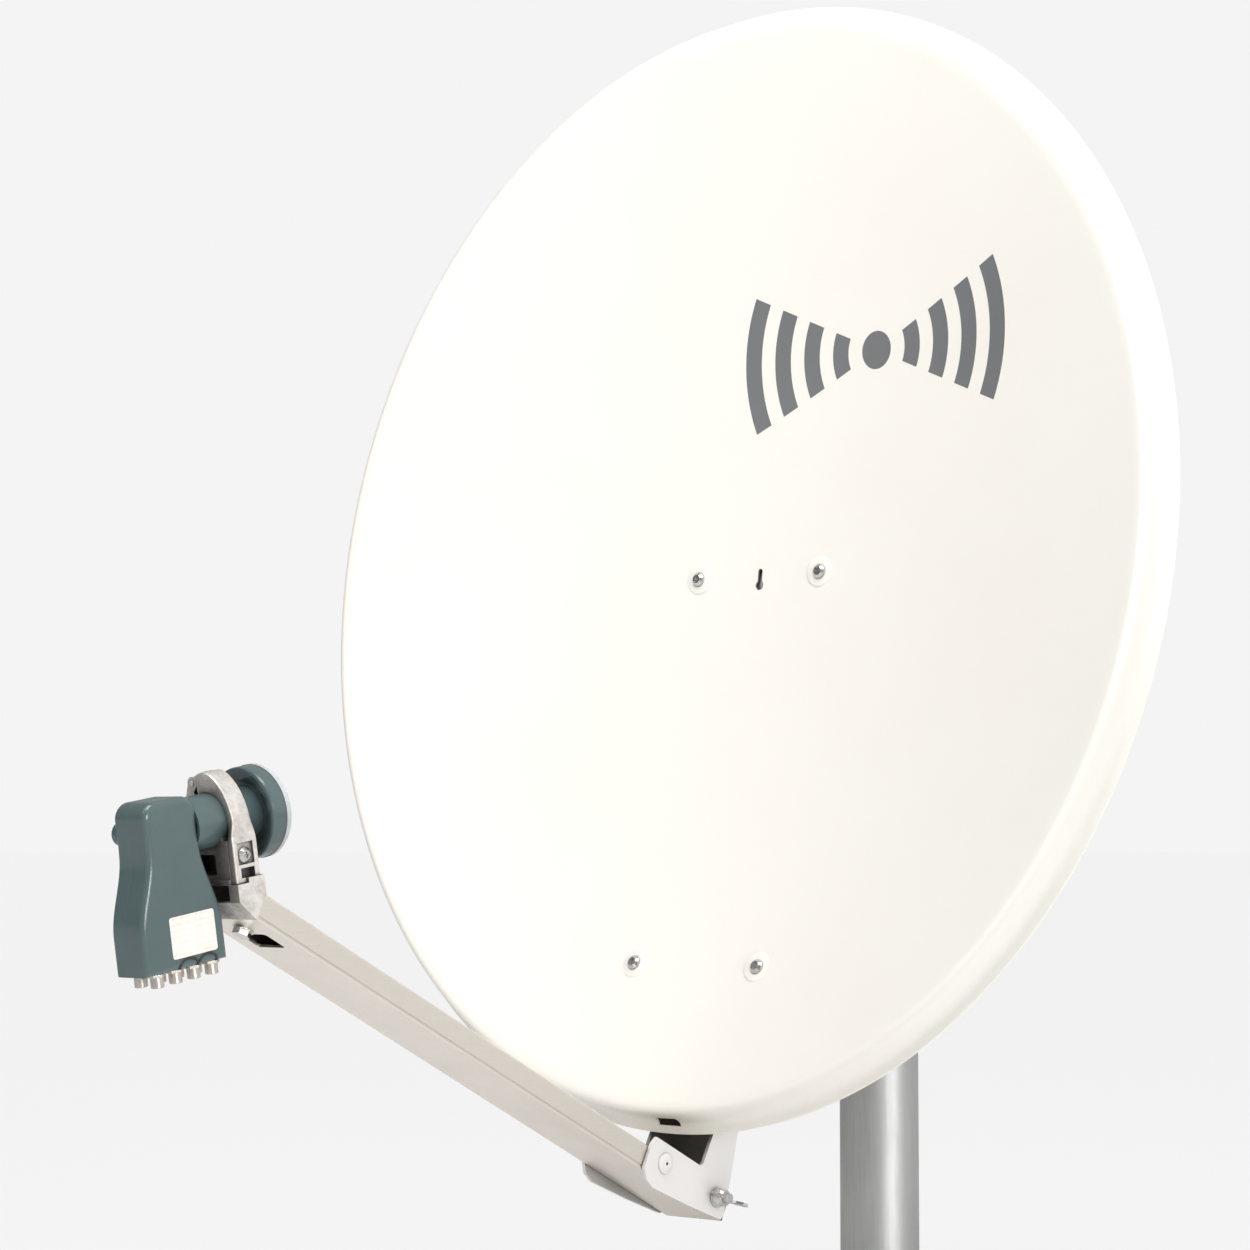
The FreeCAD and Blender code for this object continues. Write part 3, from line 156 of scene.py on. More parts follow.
class Material(Tree):
    """One of the object's materials: a principled shader and what feeds it. Lengths are in metres."""

    def __init__(self, name):
        self.material = bpy.data.materials.new(name)
        super().__init__(self.material)
        self.shader = self.add("ShaderNodeBsdfPrincipled")
        out = self.add("ShaderNodeOutputMaterial")
        self.link(self.shader.outputs["BSDF"], out.inputs["Surface"])
        self.coords = self.add("ShaderNodeTexCoord").outputs["Object"]

    def mapped(self, stretch=(1, 1, 1), turn=(0, 0, 0)):
        """The object's own coordinates, turned and then stretched."""
        node = self.add("ShaderNodeMapping", vector_type="POINT")
        self.link(self.coords, node.inputs["Vector"])
        node.inputs["Rotation"].default_value = turn
        node.inputs["Scale"].default_value = stretch
        return node.outputs["Vector"]

    def noise(self, scale, detail, rough=0.55, vector=None, lo=0.35, hi=0.65):
        """Noise spread to 0..1 between two levels."""
        node = self.add("ShaderNodeTexNoise")
        self.link(vector or self.coords, node.inputs["Vector"])
        node.inputs["Scale"].default_value = scale
        node.inputs["Detail"].default_value = detail
        node.inputs["Roughness"].default_value = rough
        return self.spread(node.outputs["Fac"], lo, hi)

    def mix(self, amount, a, b):
        """Mix two colours, each one a node's output or three numbers."""
        node = self.add("ShaderNodeMix", data_type="RGBA")
        self.put(node.inputs["Factor"], amount)
        for socket, value in ((node.inputs[6], a), (node.inputs[7], b)):
            self.put(socket, (*value, 1.0) if isinstance(value, tuple) else value)
        return node.outputs[2]

    def rounded_normal(self, radius):
        """The surface's normal, rounded off near the edges."""
        node = self.add("ShaderNodeBevel", samples=4)
        node.inputs["Radius"].default_value = radius
        return node.outputs["Normal"]

    def edges(self, radius, strength):
        """The strength along the sharp edges and 0 on the flats, from the difference of two normals."""
        plain = self.add("ShaderNodeNewGeometry").outputs["Normal"]
        return self.spread(self.dot(self.rounded_normal(radius), plain), 0.97, 0.80, 0.0, strength)

    def hollow(self, reach, lo, hi):
        """The painted shade's mask: 1 deep inside a narrow hollow and 0 in the open."""
        node = self.add("ShaderNodeAmbientOcclusion", samples=6)
        node.inputs["Distance"].default_value = reach
        return self.spread(node.outputs["AO"], hi, lo)

    def bump(self, height, distance, strength=0.5, bevel=0.0):
        """A fine relief, on normals that are rounded off at the edges where a bevel is given."""
        node = self.add("ShaderNodeBump")
        node.inputs["Strength"].default_value = strength
        node.inputs["Distance"].default_value = distance
        self.link(height, node.inputs["Height"])
        if bevel:
            self.link(self.rounded_normal(bevel), node.inputs["Normal"])
        self.link(node.outputs["Normal"], self.shader.inputs["Normal"])

    def finish(self, **values):
        """Give the shader's sockets their values, and hand back the material."""
        for key, value in values.items():
            self.put(self.shader.inputs[key.replace("_", " ")], value)
        return self.material


# ---------------------------------------------------------------- materials
DUST = (0.55, 0.50, 0.42)
# The dark colour of the painted shade in the paint's hollows.
PAINTED_SHADE = (0.05, 0.045, 0.038)
# The dark colour of the painted shade in the casting's hollows.
PAINTED_CASTING_SHADE = (0.030, 0.024, 0.022)
METAL_BEVEL = 0.0004
PLASTIC_BEVEL = 0.0005


def paint(name, light, dark, worn, gloss=0.36, reach=0.012, lo=0.4, hi=0.8):
    """Powder coat: orange peel, a faint change of tone, dust, painted shade in hollows and thin paint on
    edges.
    """
    net = Material(name)
    tone = net.mix(net.noise(3.5, 2.0), light, dark)
    dust = net.times(net.noise(420.0, 4.0, 0.7, lo=0.62, hi=0.75), net.noise(14.0, 2.0))
    tone = net.mix(net.times(dust, 0.16), tone, DUST)
    tone = net.mix(net.edges(0.0009, 0.55), tone, worn)
    # Painted shade: the tone goes dark in hollows and where parts meet.
    tone = net.mix(net.times(net.hollow(reach, lo, hi), 0.95), tone, PAINTED_SHADE)
    peel = net.noise(700.0, 2.0, 0.5, lo=0.2, hi=0.8)
    net.bump(peel, 0.00006, bevel=0.0006)
    rough = net.plus(net.times(net.noise(60.0, 3.0), 0.10), gloss)
    return net.finish(Base_Color=tone, Roughness=rough)


def metal(name, light, dark, rough, spread=0.15, stretch=(1, 1, 1), turn=(0, 0, 0),
          grain=900.0, patches=30.0, depth=0.00003, edge=(0.9, 0.89, 0.87)):
    """Bare metal: grain, patches of duller metal, fine scratches and edges of another tone."""
    net = Material(name)
    grainy = net.noise(grain, 3.0, 0.6, net.mapped(stretch, turn), 0.3, 0.7)
    patchy = net.noise(patches, 4.0, 0.65)
    both = net.plus(grainy, patchy)
    tone = net.mix(net.times(both, 0.5), light, dark)
    tone = net.mix(net.edges(METAL_BEVEL * 1.5, 0.6), tone, edge)
    net.bump(grainy, depth, 0.6, METAL_BEVEL)
    level = net.plus(net.times(both, spread * 0.5), rough)
    return net.finish(Base_Color=tone, Roughness=level, Metallic=1.0)


def casting(name):
    """Raw zinc die casting: mottled, with a dark patina in patches, painted shade in its hollows, and rubbed
    edges.
    """
    net = Material(name)
    broad = net.noise(62.0, 5.0, 0.72, lo=0.40, hi=0.62)
    fine = net.noise(380.0, 4.0, 0.7, lo=0.35, hi=0.7)
    tone = net.mix(net.times(broad, 0.75), (0.80, 0.76, 0.72), (0.40, 0.37, 0.35))
    tone = net.mix(net.times(fine, 0.40), tone, (0.90, 0.86, 0.81))
    tone = net.mix(net.edges(0.0009, 0.7), tone, (0.93, 0.91, 0.88))
    # Painted shade: the casting goes nearly black in hollows and between parts.
    tone = net.mix(net.times(net.hollow(0.06, 0.4, 0.9), 0.9), tone, PAINTED_CASTING_SHADE)
    net.bump(net.plus(fine, broad), 0.00014, bevel=0.0007)
    rough = net.plus(net.times(broad, 0.2), 0.38)
    return net.finish(Base_Color=tone, Roughness=rough, Metallic=0.70)


def plastic(name, light, dark, rough, **extra):
    """Moulded plastic: spark-eroded grain, soft smudges in the gloss, lighter edges and painted shade in the
    hollows.
    """
    net = Material(name)
    smudge = net.noise(24.0, 4.0, 0.6)
    fine = net.noise(1500.0, 2.0, 0.5, lo=0.25, hi=0.75)
    rubbed = tuple(min(1.0, c * 1.5 + 0.015) for c in light)
    shaded = tuple(c * 0.15 for c in dark)
    tone = net.mix(smudge, light, dark)
    tone = net.mix(net.edges(PLASTIC_BEVEL * 1.4, 0.5), tone, rubbed)
    # Painted shade: the plastic goes dark in hollows and where parts meet.
    tone = net.mix(net.times(net.hollow(0.022, 0.25, 0.9), 0.75), tone, shaded)
    net.bump(fine, 0.00003, bevel=PLASTIC_BEVEL)
    level = net.plus(net.times(net.plus(smudge, fine), 0.04), rough)
    return net.finish(Base_Color=tone, Roughness=level, **extra)


def label(name):
    """A printed label with nothing but faint bars on it, level with the casing."""
    net = Material(name)
    place = net.add("ShaderNodeSeparateXYZ")
    net.link(net.mapped(turn=(math.radians(-NECK_TILT), 0, 0)), place.inputs["Vector"])
    fibre = net.noise(900.0, 4.0, 0.7)
    tone = net.mix(net.noise(55.0, 3.0), (0.88, 0.85, 0.78), (0.80, 0.77, 0.70))
    tone = net.mix(net.times(fibre, 0.12), tone, (0.60, 0.56, 0.50))
    bar_pitch = 0.0042
    rows = net.calc("SINE", net.times(place.outputs["Z"], 2 * math.pi / bar_pitch), 0.0)
    broken = net.noise(260.0, 2.0, 0.5, net.mapped((0.2, 1.0, 0.25)), 0.42, 0.52)
    bars = net.times(net.spread(rows, 0.25, 0.45, 0.0, 0.20), broken)
    tone = net.mix(bars, tone, (0.42, 0.40, 0.38))
    net.bump(fibre, 0.00002)
    return net.finish(Base_Color=tone, Roughness=net.plus(net.times(fibre, 0.1), 0.38))


MATERIALS = {
    "cream_paint": paint("cream_paint", (0.886, 0.862, 0.804), (0.868, 0.840, 0.776), (0.93, 0.92, 0.88)),
    # The white paint's wide reach paints shade deep into the bracket's channel.
    "white_paint": paint("white_paint", (0.72, 0.70, 0.68), (0.68, 0.66, 0.64), (0.84, 0.83, 0.82), 0.33,
                         reach=0.12, lo=0.35, hi=0.72),
    "galvanised_mast": metal("galvanised_mast", (0.50, 0.505, 0.495), (0.42, 0.425, 0.42), 0.43, 0.10,
                             stretch=(1, 1, 0.05), grain=500.0, patches=9.0),
    "galvanised_steel": metal("galvanised_steel", (0.64, 0.65, 0.65), (0.46, 0.47, 0.48), 0.36, 0.22,
                              patches=45.0),
    "zinc_fasteners": metal("zinc_fasteners", (0.66, 0.65, 0.63), (0.50, 0.49, 0.47), 0.20, 0.14,
                            patches=60.0),
    # The arm's edge tone is dark: a painted dark reflection line along the tube's rounded edges.
    "arm_aluminium": metal("arm_aluminium", (0.80, 0.75, 0.69), (0.74, 0.69, 0.63), 0.34, 0.14,
                           stretch=(1, 0.03, 1), turn=(math.radians(ARM_SLOPE), 0, 0), grain=1100.0,
                           patches=12.0, depth=0.00005, edge=(0.26, 0.24, 0.22)),
    "die_cast": casting("die_cast"),
    "horn_casting": metal("horn_casting", (0.72, 0.72, 0.72), (0.60, 0.60, 0.60), 0.28),
    "casing_plastic": plastic("casing_plastic", (0.085, 0.125, 0.127), (0.077, 0.115, 0.118), 0.15,
                              Coat_Weight=0.12, Coat_Roughness=0.2),
    "cap_plastic": plastic("cap_plastic", (0.60, 0.63, 0.64), (0.54, 0.57, 0.58), 0.30,
                           Subsurface_Weight=0.25, Subsurface_Scale=0.004, Transmission_Weight=0.12),
    "white_plastic": plastic("white_plastic", (0.84, 0.84, 0.81), (0.76, 0.76, 0.73), 0.42),
    "black_plastic": plastic("black_plastic", (0.030, 0.030, 0.031), (0.020, 0.020, 0.021), 0.42),
    "seal_rubber": plastic("seal_rubber", (0.020, 0.020, 0.020), (0.012, 0.012, 0.012), 0.68),
    "board": plastic("board", (0.04, 0.20, 0.09), (0.03, 0.15, 0.07), 0.40),
    "nickel_outputs": metal("nickel_outputs", (0.64, 0.60, 0.54), (0.52, 0.48, 0.43), 0.26, 0.10,
                            grain=400.0, patches=60.0),
    "brass_contacts": metal("brass_contacts", (0.80, 0.62, 0.28), (0.66, 0.48, 0.20), 0.22, 0.12),
    "label_paper": label("label_paper"),
}
PRINT = paint("grey_print", (0.178, 0.184, 0.190), (0.155, 0.160, 0.166), (0.26, 0.26, 0.26), 0.42)

for part in frame["record"]["subparts"]:
    mesh = frame["nodes"][part["node"]].data
    mesh.materials.clear()
    mesh.materials.append(MATERIALS[part["material_slot"]])


# ---------------------------------------------------------------- mesh makers
SHARP = 35.0  # degrees between two faces from which their edge is drawn sharp


def shown(name, data):
    """A new object of the scene."""
    obj = bpy.data.objects.new(name, data)
    bpy.context.scene.collection.objects.link(obj)
    return obj


def smooth(mesh, sharp=SHARP):
    """Shade a mesh smooth, with sharp edges from an angle in degrees."""
    mesh.polygons.foreach_set("use_smooth", [True] * len(mesh.polygons))
    mesh.set_sharp_from_angle(angle=math.radians(sharp))


def solid(name, verts, faces, matrix, material, sharp=SHARP):
    """A mesh object from points in millimetres of a frame, shaded smooth with sharp edges."""
    mesh = bpy.data.meshes.new(name)
    mesh.from_pydata([at(matrix, *vert) for vert in verts], [], faces)
    mesh.validate()
    mesh.materials.append(material)
    smooth(mesh, sharp)
    return shown(name, mesh)


def piece(name, verts, faces, matrix, body, slot, material=None, sharp=SHARP):
    """A solid that rides on a body, in its slot's material unless another is given."""
    obj = solid(name, verts, faces, matrix, material or MATERIALS[slot], sharp)
    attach(obj, body)
    return obj


def evaluated_mesh(obj):
    """The object's mesh with its modifiers or its curve's thickness in it."""
    return bpy.data.meshes.new_from_object(obj.evaluated_get(bpy.context.evaluated_depsgraph_get()))


def face_outwards(obj):
    """Turn every face of a closed mesh outwards."""
    work = bmesh.new()
    work.from_mesh(obj.data)
    bmesh.ops.recalc_face_normals(work, faces=work.faces)
    work.to_mesh(obj.data)
    work.free()


def combine(obj, tool_mesh, matrix, operation="DIFFERENCE"):
    """Cut a tool out of a piece, or join it on, and keep the result as the piece's own mesh."""
    tool = solid("tool", *tool_mesh, matrix, obj.data.materials[0])
    face_outwards(tool)
    modifier = obj.modifiers.new("cut", "BOOLEAN")
    modifier.object = tool
    modifier.operation = operation
    modifier.solver = "MANIFOLD"
    mesh = evaluated_mesh(obj)
    obj.modifiers.clear()
    obj.data = mesh
    smooth(mesh)
    bpy.data.objects.remove(tool)


def strip(count, a, b):
    """The faces between two closed rows of points, whose first points are a and b."""
    return [(a + i, a + (i + 1) % count, b + (i + 1) % count, b + i) for i in range(count)]


def open_strip(count, a, b):
    """The faces between two open rows of points, whose first points are a and b."""
    return strip(count, a, b)[:-1]


def stacked(rings):
    """Verts and faces of a closed solid through rings of points, with a flat face at both ends."""
    count = len(rings[0])
    last = count * (len(rings) - 1)
    faces = [tuple(range(count))[::-1], tuple(range(last, last + count))]
    for start in range(0, last, count):
        faces += strip(count, start, start + count)
    return [point for ring in rings for point in ring], faces


def turned(profile, steps):
    """Verts and faces of a closed (radius, y) profile turned about the Y axis."""
    verts, faces = [], []
    count = len(profile)
    for k in range(steps):
        angle = 2 * math.pi * k / steps
        verts += [(r * math.cos(angle), y, r * math.sin(angle)) for r, y in profile]
        faces += strip(count, k * count, (k + 1) % steps * count)
    return verts, faces


def turned_upright(profile, steps):
    """Like turned, but about the Z axis: the profile is (radius, z)."""
    verts, faces = turned(profile, steps)
    return [(x, z, y) for x, y, z in verts], [face[::-1] for face in faces]


def prism(outline, y0, y1):
    """Verts and faces of a closed (x, z) outline pulled from y0 to y1."""
    return stacked([[(x, y, z) for x, z in outline] for y in (y0, y1)])


def block(x0, x1, y0, y1, z0, z1):
    """Verts and faces of a box between two values on each axis."""
    return prism([(x0, z0), (x1, z0), (x1, z1), (x0, z1)], y0, y1)


def arc(x, z, radius, start, sweep, steps):
    """Points of an arc, ends included. The angles are in radians."""
    angles = [start + sweep * k / steps for k in range(steps + 1)]
    return [(x + radius * math.cos(a), z + radius * math.sin(a)) for a in angles]


def circle(x, z, radius, steps=40):
    """Points round a full circle, each one once."""
    return arc(x, z, radius, 0.0, 2 * math.pi, steps)[:-1]


def rounded_line(points, passes):
    """Cut the corners of an open line again and again, so that it becomes a smooth curve."""
    for _ in range(passes):
        fresh = [points[0]]
        for a, b in zip(points, points[1:]):
            fresh.append(tuple(p * 0.75 + q * 0.25 for p, q in zip(a, b)))
            fresh.append(tuple(p * 0.25 + q * 0.75 for p, q in zip(a, b)))
        fresh.append(points[-1])
        points = fresh
    return points


def along_line(points, count):
    """Points at even steps along a line of (x, z) points."""
    lengths = [0.0]
    for a, b in zip(points, points[1:]):
        lengths.append(lengths[-1] + math.hypot(b[0] - a[0], b[1] - a[1]))
    found = []
    k = 0
    for i in range(count):
        goal = lengths[-1] * i / (count - 1)
        while k < len(points) - 2 and lengths[k + 1] < goal:
            k += 1
        share = (goal - lengths[k]) / (lengths[k + 1] - lengths[k])
        found.append(tuple(p + (q - p) * share for p, q in zip(points[k], points[k + 1])))
    return found


# ---------------------------------------------------------------- the reflector
RINGS = 56
SPOKES = 256
# The rolled rim, the skirt, the lip and the way back inside: outwards from the rim, and backwards.
RIM_OUTLINE = [(0.6, 0.0), (2.5, 0.0), (5.5, 1.2), (7.4, 4.0), (9.0, 17.0), (10.4, 21.5), (13.5, 24.6),
               (19.0, 26.0), (20.5, 26.5), (20.5, 28.0), (18.4, 28.0), (12.2, 26.2), (8.6, 22.2),
               (7.2, 17.0), (5.6, 4.8), (3.4, 2.7), (0.6, 2.4)]
KEYHOLE_HEIGHT = -10.0
# The drain slot is low in the skirt, near the lip.
DRAIN_SLOT = DISH @ shift(0, 21.3, -HALF_HEIGHT - 11) @ tilt(-25)
PAD_OUTLINE = [(0.01, 0.05), (11.6, 0.05), (12.6, 0.2), (13.3, 0.7), (14.2, 1.6), (14.4, 3.0), (0.01, 3.0)]
PAD_FRONT = -SCREW_X ** 2 / (4 * FOCAL) - 0.85  # the bowl's face rises towards its sides


def bowl_point(u, angle, behind=0.0):
    """A point of the bowl in the dish's frame. u is 0 at the bottom of the bowl and 1 at the rim."""
    deep = BOWL * (1 - u * u)
    return (HALF_WIDTH * u * math.cos(angle), deep * math.cos(OFFSET) + behind,
            HALF_HEIGHT * u * math.sin(angle) - deep * math.sin(OFFSET))


def bowl_depth(x, z):
    """Depth of the bowl's face behind the rim plane, found by a few steps."""
    deep = 0.0
    for _ in range(30):
        across = (x / HALF_WIDTH) ** 2 + ((z + deep * math.sin(OFFSET)) / HALF_HEIGHT) ** 2
        deep = BOWL * (1 - across)
    return deep * math.cos(OFFSET)


def seat(z):
    """A frame on the bowl's middle line, with its Y axis along the back normal."""
    slope = math.atan2(bowl_depth(0, z + 1) - bowl_depth(0, z - 1), 2)
    return DISH @ shift(0, bowl_depth(0, z), z) @ Matrix.Rotation(-slope, 4, "X")


def reflector_row(angle):
    """The sheet's section along one spoke: the bowl's face, the rim and the bowl's back."""
    squeeze = HALF_WIDTH / HALF_HEIGHT
    outline = rounded_line([(HALF_HEIGHT + out, y) for out, y in RIM_OUTLINE], 2)
    face = [bowl_point(i / RINGS, angle) for i in range(1, RINGS + 1)]
    rim = [(r * squeeze * math.cos(angle), y, r * math.sin(angle)) for r, y in outline]
    back = [bowl_point(i / RINGS, angle, SHEET) for i in range(RINGS, 0, -1)]
    return face + rim + back


def reflector_sheet():
    """The pressed sheet in one smooth skin: the bowl, the rolled rim, the skirt, the lip and the back."""
    rows = [reflector_row(2 * math.pi * k / SPOKES) for k in range(SPOKES)]
    count = len(rows[0])
    front_middle = SPOKES * count
    verts = [point for row in rows for point in row]
    verts += [bowl_point(0, 0), bowl_point(0, 0, SHEET)]
    faces = []
    for k in range(SPOKES):
        a = k * count
        b = (k + 1) % SPOKES * count
        faces += open_strip(count, a, b)
        faces.append((front_middle, a, b))
        faces.append((front_middle + 1, b + count - 1, a + count - 1))
    obj = piece("reflector_sheet", verts, faces, DISH, "dish", "cream_paint")
    face_outwards(obj)
    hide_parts("reflector")
    combine(obj, prism(keyhole_outline(), -20, 20), seat(KEYHOLE_HEIGHT))
    combine(obj, block(-12, 12, -7, 9, -1.2, 2.4), DRAIN_SLOT)


def keyhole_outline():
    """A round hole with a narrower slot above it."""
    wide = 4.2
    narrow = 2.4
    start = math.acos(narrow / wide)
    slot = arc(0.0, 8.0, narrow, 0.0, math.pi, 12)
    return slot + arc(0.0, -4.0, wide, math.pi - start, math.pi + 2 * start, 24)


def screw_pads():
    """The raised round pads under the reflector's four screws."""
    for row, height in enumerate(SCREW_ROWS):
        for side, letter in ((-1, "a"), (1, "b")):
            spot = seat(height) @ shift(side * SCREW_X, PAD_FRONT, 0)
            piece("screw_pad_%d%s" % (row, letter), *turned(PAD_OUTLINE, 64), spot, "dish", "cream_paint")


reflector_sheet()
screw_pads()


# ---------------------------------------------------------------- the printed mark: plain signal arcs
MARK = (122.0, 177.0)  # the mark's middle, across and above the rim's centre
ARC_RADII = (40.0, 72.0, 104.0, 136.0)
ARC_WIDTH = 17.0
ARC_REACH = 24.0  # degrees above and below the level
PRINT_LIFT = 0.12


def on_bowl(name, rows):
    """A thin print on the bowl from rows of (x, z) points."""
    count = len(rows[0])
    verts = [(x, bowl_depth(x, z) - PRINT_LIFT, z) for row in rows for x, z in row]
    faces = []
    for k in range(len(rows) - 1):
        faces += open_strip(count, k * count, (k + 1) * count)
    piece(name, verts, faces, DISH, "dish", "cream_paint", PRINT)


def print_arc(name, radius, width, middle, reach):
    """A band of the mark, from an angle minus the reach to it plus the reach, in degrees."""
    start = math.radians(middle - reach)
    sweep = math.radians(2 * reach)
    on_bowl(name, [arc(*MARK, r, start, sweep, 40) for r in (radius - width / 2, radius, radius + width / 2)])


for k, radius in enumerate(ARC_RADII):
    print_arc("mark_arc_right_%d" % k, radius, ARC_WIDTH, 0.0, ARC_REACH)
    print_arc("mark_arc_left_%d" % k, radius, ARC_WIDTH, 180.0, ARC_REACH)
print_arc("mark_dot", 8.0, 15.9, 180.0, 180.0)


# ---------------------------------------------------------------- the strap: a smooth casting
GRIP = NECK_R + 0.05
HINGE = (-12.0, 27.0)  # the hinge's x and z from the neck's axis
KNUCKLE = 4.6
KNUCKLE_SPAN = (-2.4, 5.4)
PIN = 1.95
TAB = (22.05, 27.6)  # the tab's inner and outer face
RECESS = 2.2
SCREW_HOLE = 3.1
SCREW_DROP = -25.2
HOOK_TOP = -40.94
TAB_END = -44.0
BAND = (-7.0, 10.0)  # the band's edges along the neck
CRADLE = (-11.0, 12.0)  # the tab's edges, and those of the holder under it
WIDENS_BELOW = 2.0
WIDENS_OVER = 15.0
STRAP_CORNER = 1.3
STRAP_STEPS = 110


def strap_lines():
    """The strap's outer and inner line, from the hinge over the neck to the end of the tab."""
    inner_face, outer_face = TAB
    outer = [(-10.2, 31.2), (-6, 33.8), (0, 34.9), (6, 33.2), (12.5, 28), (19.5, 19.5), (24.4, 8), (26.2, -3),
             (26.8, -9), (outer_face, -14), (outer_face, -24), (outer_face, TAB_END)]
    round_neck = [math.radians(a) for a in range(111, -9, -4)]
    inner = [(-7.4, 24.5), (-7.3, 21)]
    inner += [(GRIP * math.cos(a), GRIP * math.sin(a)) for a in round_neck]
    inner += [(20.3, -6), (inner_face, -13.5), (inner_face, -24), (inner_face, TAB_END)]
    return along_line(rounded_line(outer, 3), STRAP_STEPS), along_line(rounded_line(inner, 2), STRAP_STEPS)


def strap_edges(z):
    """Where the strap's two edges are along the neck at a height: it widens into the tab."""
    widen = min(1.0, max(0.0, (WIDENS_BELOW - z) / WIDENS_OVER))
    widen = widen * widen * (3 - 2 * widen)
    return [band + (tab - band) * widen for band, tab in zip(BAND, CRADLE)]


def strap_section(outer, inner, y0, y1):
    """A rounded rectangle across the strap: outer and inner are (x, z) points, y0 and y1 its edges."""
    thick = math.hypot(outer[0] - inner[0], outer[1] - inner[1])
    large = min(STRAP_CORNER, thick * 0.45)
    small = large * 0.4
    turn = [math.radians(15 * k) for k in range(7)]
    ring = [(y1 - large + large * math.sin(a), 1 - (large - large * math.cos(a)) / thick) for a in turn]
    ring += [(y1 - small + small * math.cos(a), (small - small * math.sin(a)) / thick) for a in turn]
    ring += [(y0 + small - small * math.sin(a), (small - small * math.cos(a)) / thick) for a in turn]
    ring += [(y0 + large - large * math.cos(a), 1 - (large - large * math.sin(a)) / thick) for a in turn]
    return [(inner[0] + (outer[0] - inner[0]) * t, y, inner[1] + (outer[1] - inner[1]) * t) for y, t in ring]


def strap_knuckle(strap):
    """Make room for the holder's ears, and join on the knuckle and its link to the band."""
    near, far = KNUCKLE_SPAN
    x, z = HINGE
    combine(strap, prism(circle(x, z, KNUCKLE + 0.4), CRADLE[0] - 1, CRADLE[1] + 1), NECK)
    combine(strap, prism(circle(x, z, KNUCKLE), near, far), NECK, "UNION")
    link = [(x, z + KNUCKLE - 0.05), (-3, 34.6), (-4, 24), (x + 1, 23.6)]
    combine(strap, prism(link, near, far), NECK, "UNION")


def strap_openings(strap):
    """The screw's recess, the window above the hook, the gap beside it, and the two holes."""
    inner_face, outer_face = TAB
    near, far = CRADLE
    combine(strap, block(outer_face - RECESS, outer_face + 1, -7.4, 7.6, -31.5, -16), NECK)
    combine(strap, block(inner_face - 1, outer_face + 1, near + 5, far - 5, HOOK_TOP, -34), NECK)
    combine(strap, block(inner_face - 1, outer_face + 1, near + 9, far + 1, TAB_END - 2, HOOK_TOP), NECK)
    combine(strap, prism(circle(*HINGE, PIN), near, far), NECK)
    combine(strap, prism(circle(0, SCREW_DROP, SCREW_HOLE), 15, 35), NECK @ tilt(-90, "Z"))


def strap_casting():
    """The band over the neck that widens into the tab, with its knuckle, recess, window and hook."""
    rings = [strap_section(outer, inner, *strap_edges(outer[1])) for outer, inner in zip(*strap_lines())]
    strap = piece("strap_casting", *stacked(rings), NECK, "strap", "die_cast")
    face_outwards(strap)
    strap_knuckle(strap)
    strap_openings(strap)
    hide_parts("clamp_strap")


strap_casting()


# ---------------------------------------------------------------- the LNB's outputs
OUTPUTS_IN_ROW = 4
OUTPUT_PITCH = 16.7
OUTPUT_MIDDLE = -52.0
OUTPUT_ROW = 8.5  # each row's distance from the casing's middle plane
OUTPUT_LENGTH = 9.6
BARREL_TOP = CASE_BOTTOM + 4.5  # inside the casing
BORE = 3.45
ROOT = 4.6
CREST = 4.75
CRESTS = 9
THREAD_PITCH = 0.79
HEXAGON_CORNER = 11.0 / math.sqrt(3)  # 11 mm across its flats


def threaded_barrel(name, place):
    """The barrel of an F output: a rolled mouth, crests for its thread, and a plain neck in the casing."""
    low = CASE_BOTTOM - OUTPUT_LENGTH
    profile = [(BORE, BARREL_TOP), (BORE, low + 0.2), (3.7, low), (4.2, low), (4.55, low + 0.3)]
    for k in range(CRESTS):
        z = low + 0.5 + k * THREAD_PITCH
        profile += [(CREST, z), (CREST, z + 0.15 * THREAD_PITCH)]
        profile += [(ROOT, z + 0.5 * THREAD_PITCH), (ROOT, z + 0.65 * THREAD_PITCH)]
    profile += [(ROOT, CASE_BOTTOM - 2.0), (ROOT, BARREL_TOP)]
    return piece(name, *turned_upright(profile, 40), place, "lnb", "nickel_outputs", sharp=30)


def hexagon_base(name, place):
    """The hexagon at the foot of an output, with a bevel on its lower edge."""
    rings = []
    for z, corner in ((-2.2, HEXAGON_CORNER - 0.35), (-1.95, HEXAGON_CORNER), (-0.05, HEXAGON_CORNER)):
        rings.append([(x, y, CASE_BOTTOM + z) for x, y in circle(0, 0, corner, 6)])
    piece(name, *stacked(rings), place, "lnb", "nickel_outputs", sharp=20)


def outputs():
    """Two rows of outputs, drawn in place of the CAD node that holds all eight, which is hidden."""
    for row, across in enumerate((-OUTPUT_ROW, OUTPUT_ROW)):
        for k in range(OUTPUTS_IN_ROW):
            number = row * OUTPUTS_IN_ROW + k
            along = OUTPUT_MIDDLE + (k - (OUTPUTS_IN_ROW - 1) / 2) * OUTPUT_PITCH
            place = NECK @ shift(across, along, 0)
            hexagon_base("output_base_%d" % number, place)
            barrel = threaded_barrel("output_barrel_%d" % number, place)
            if number == 0:
                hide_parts("f_outputs")


outputs()


# ---------------------------------------------------------------- the two arches moulded on the casing
ARCH_MIDDLES = (-53.5, -36.0)
ARCH_HALF_WIDTH = 8.4
ARCH_HEIGHT = 6.0
ARCH_FOOT = CASE_BOTTOM + 0.8
ARCH_STEPS = 24
LINE_RADIUS = 0.95


def case_face_x(z):
    """How far out the right shell's face is at a height, with its rounded lower edge."""
    under = CASE_BOTTOM + CASE_FILLET - z
    if under <= 0:
        return CASE_X
    return CASE_X - CASE_FILLET + math.sqrt(max(0.0, CASE_FILLET ** 2 - under ** 2))


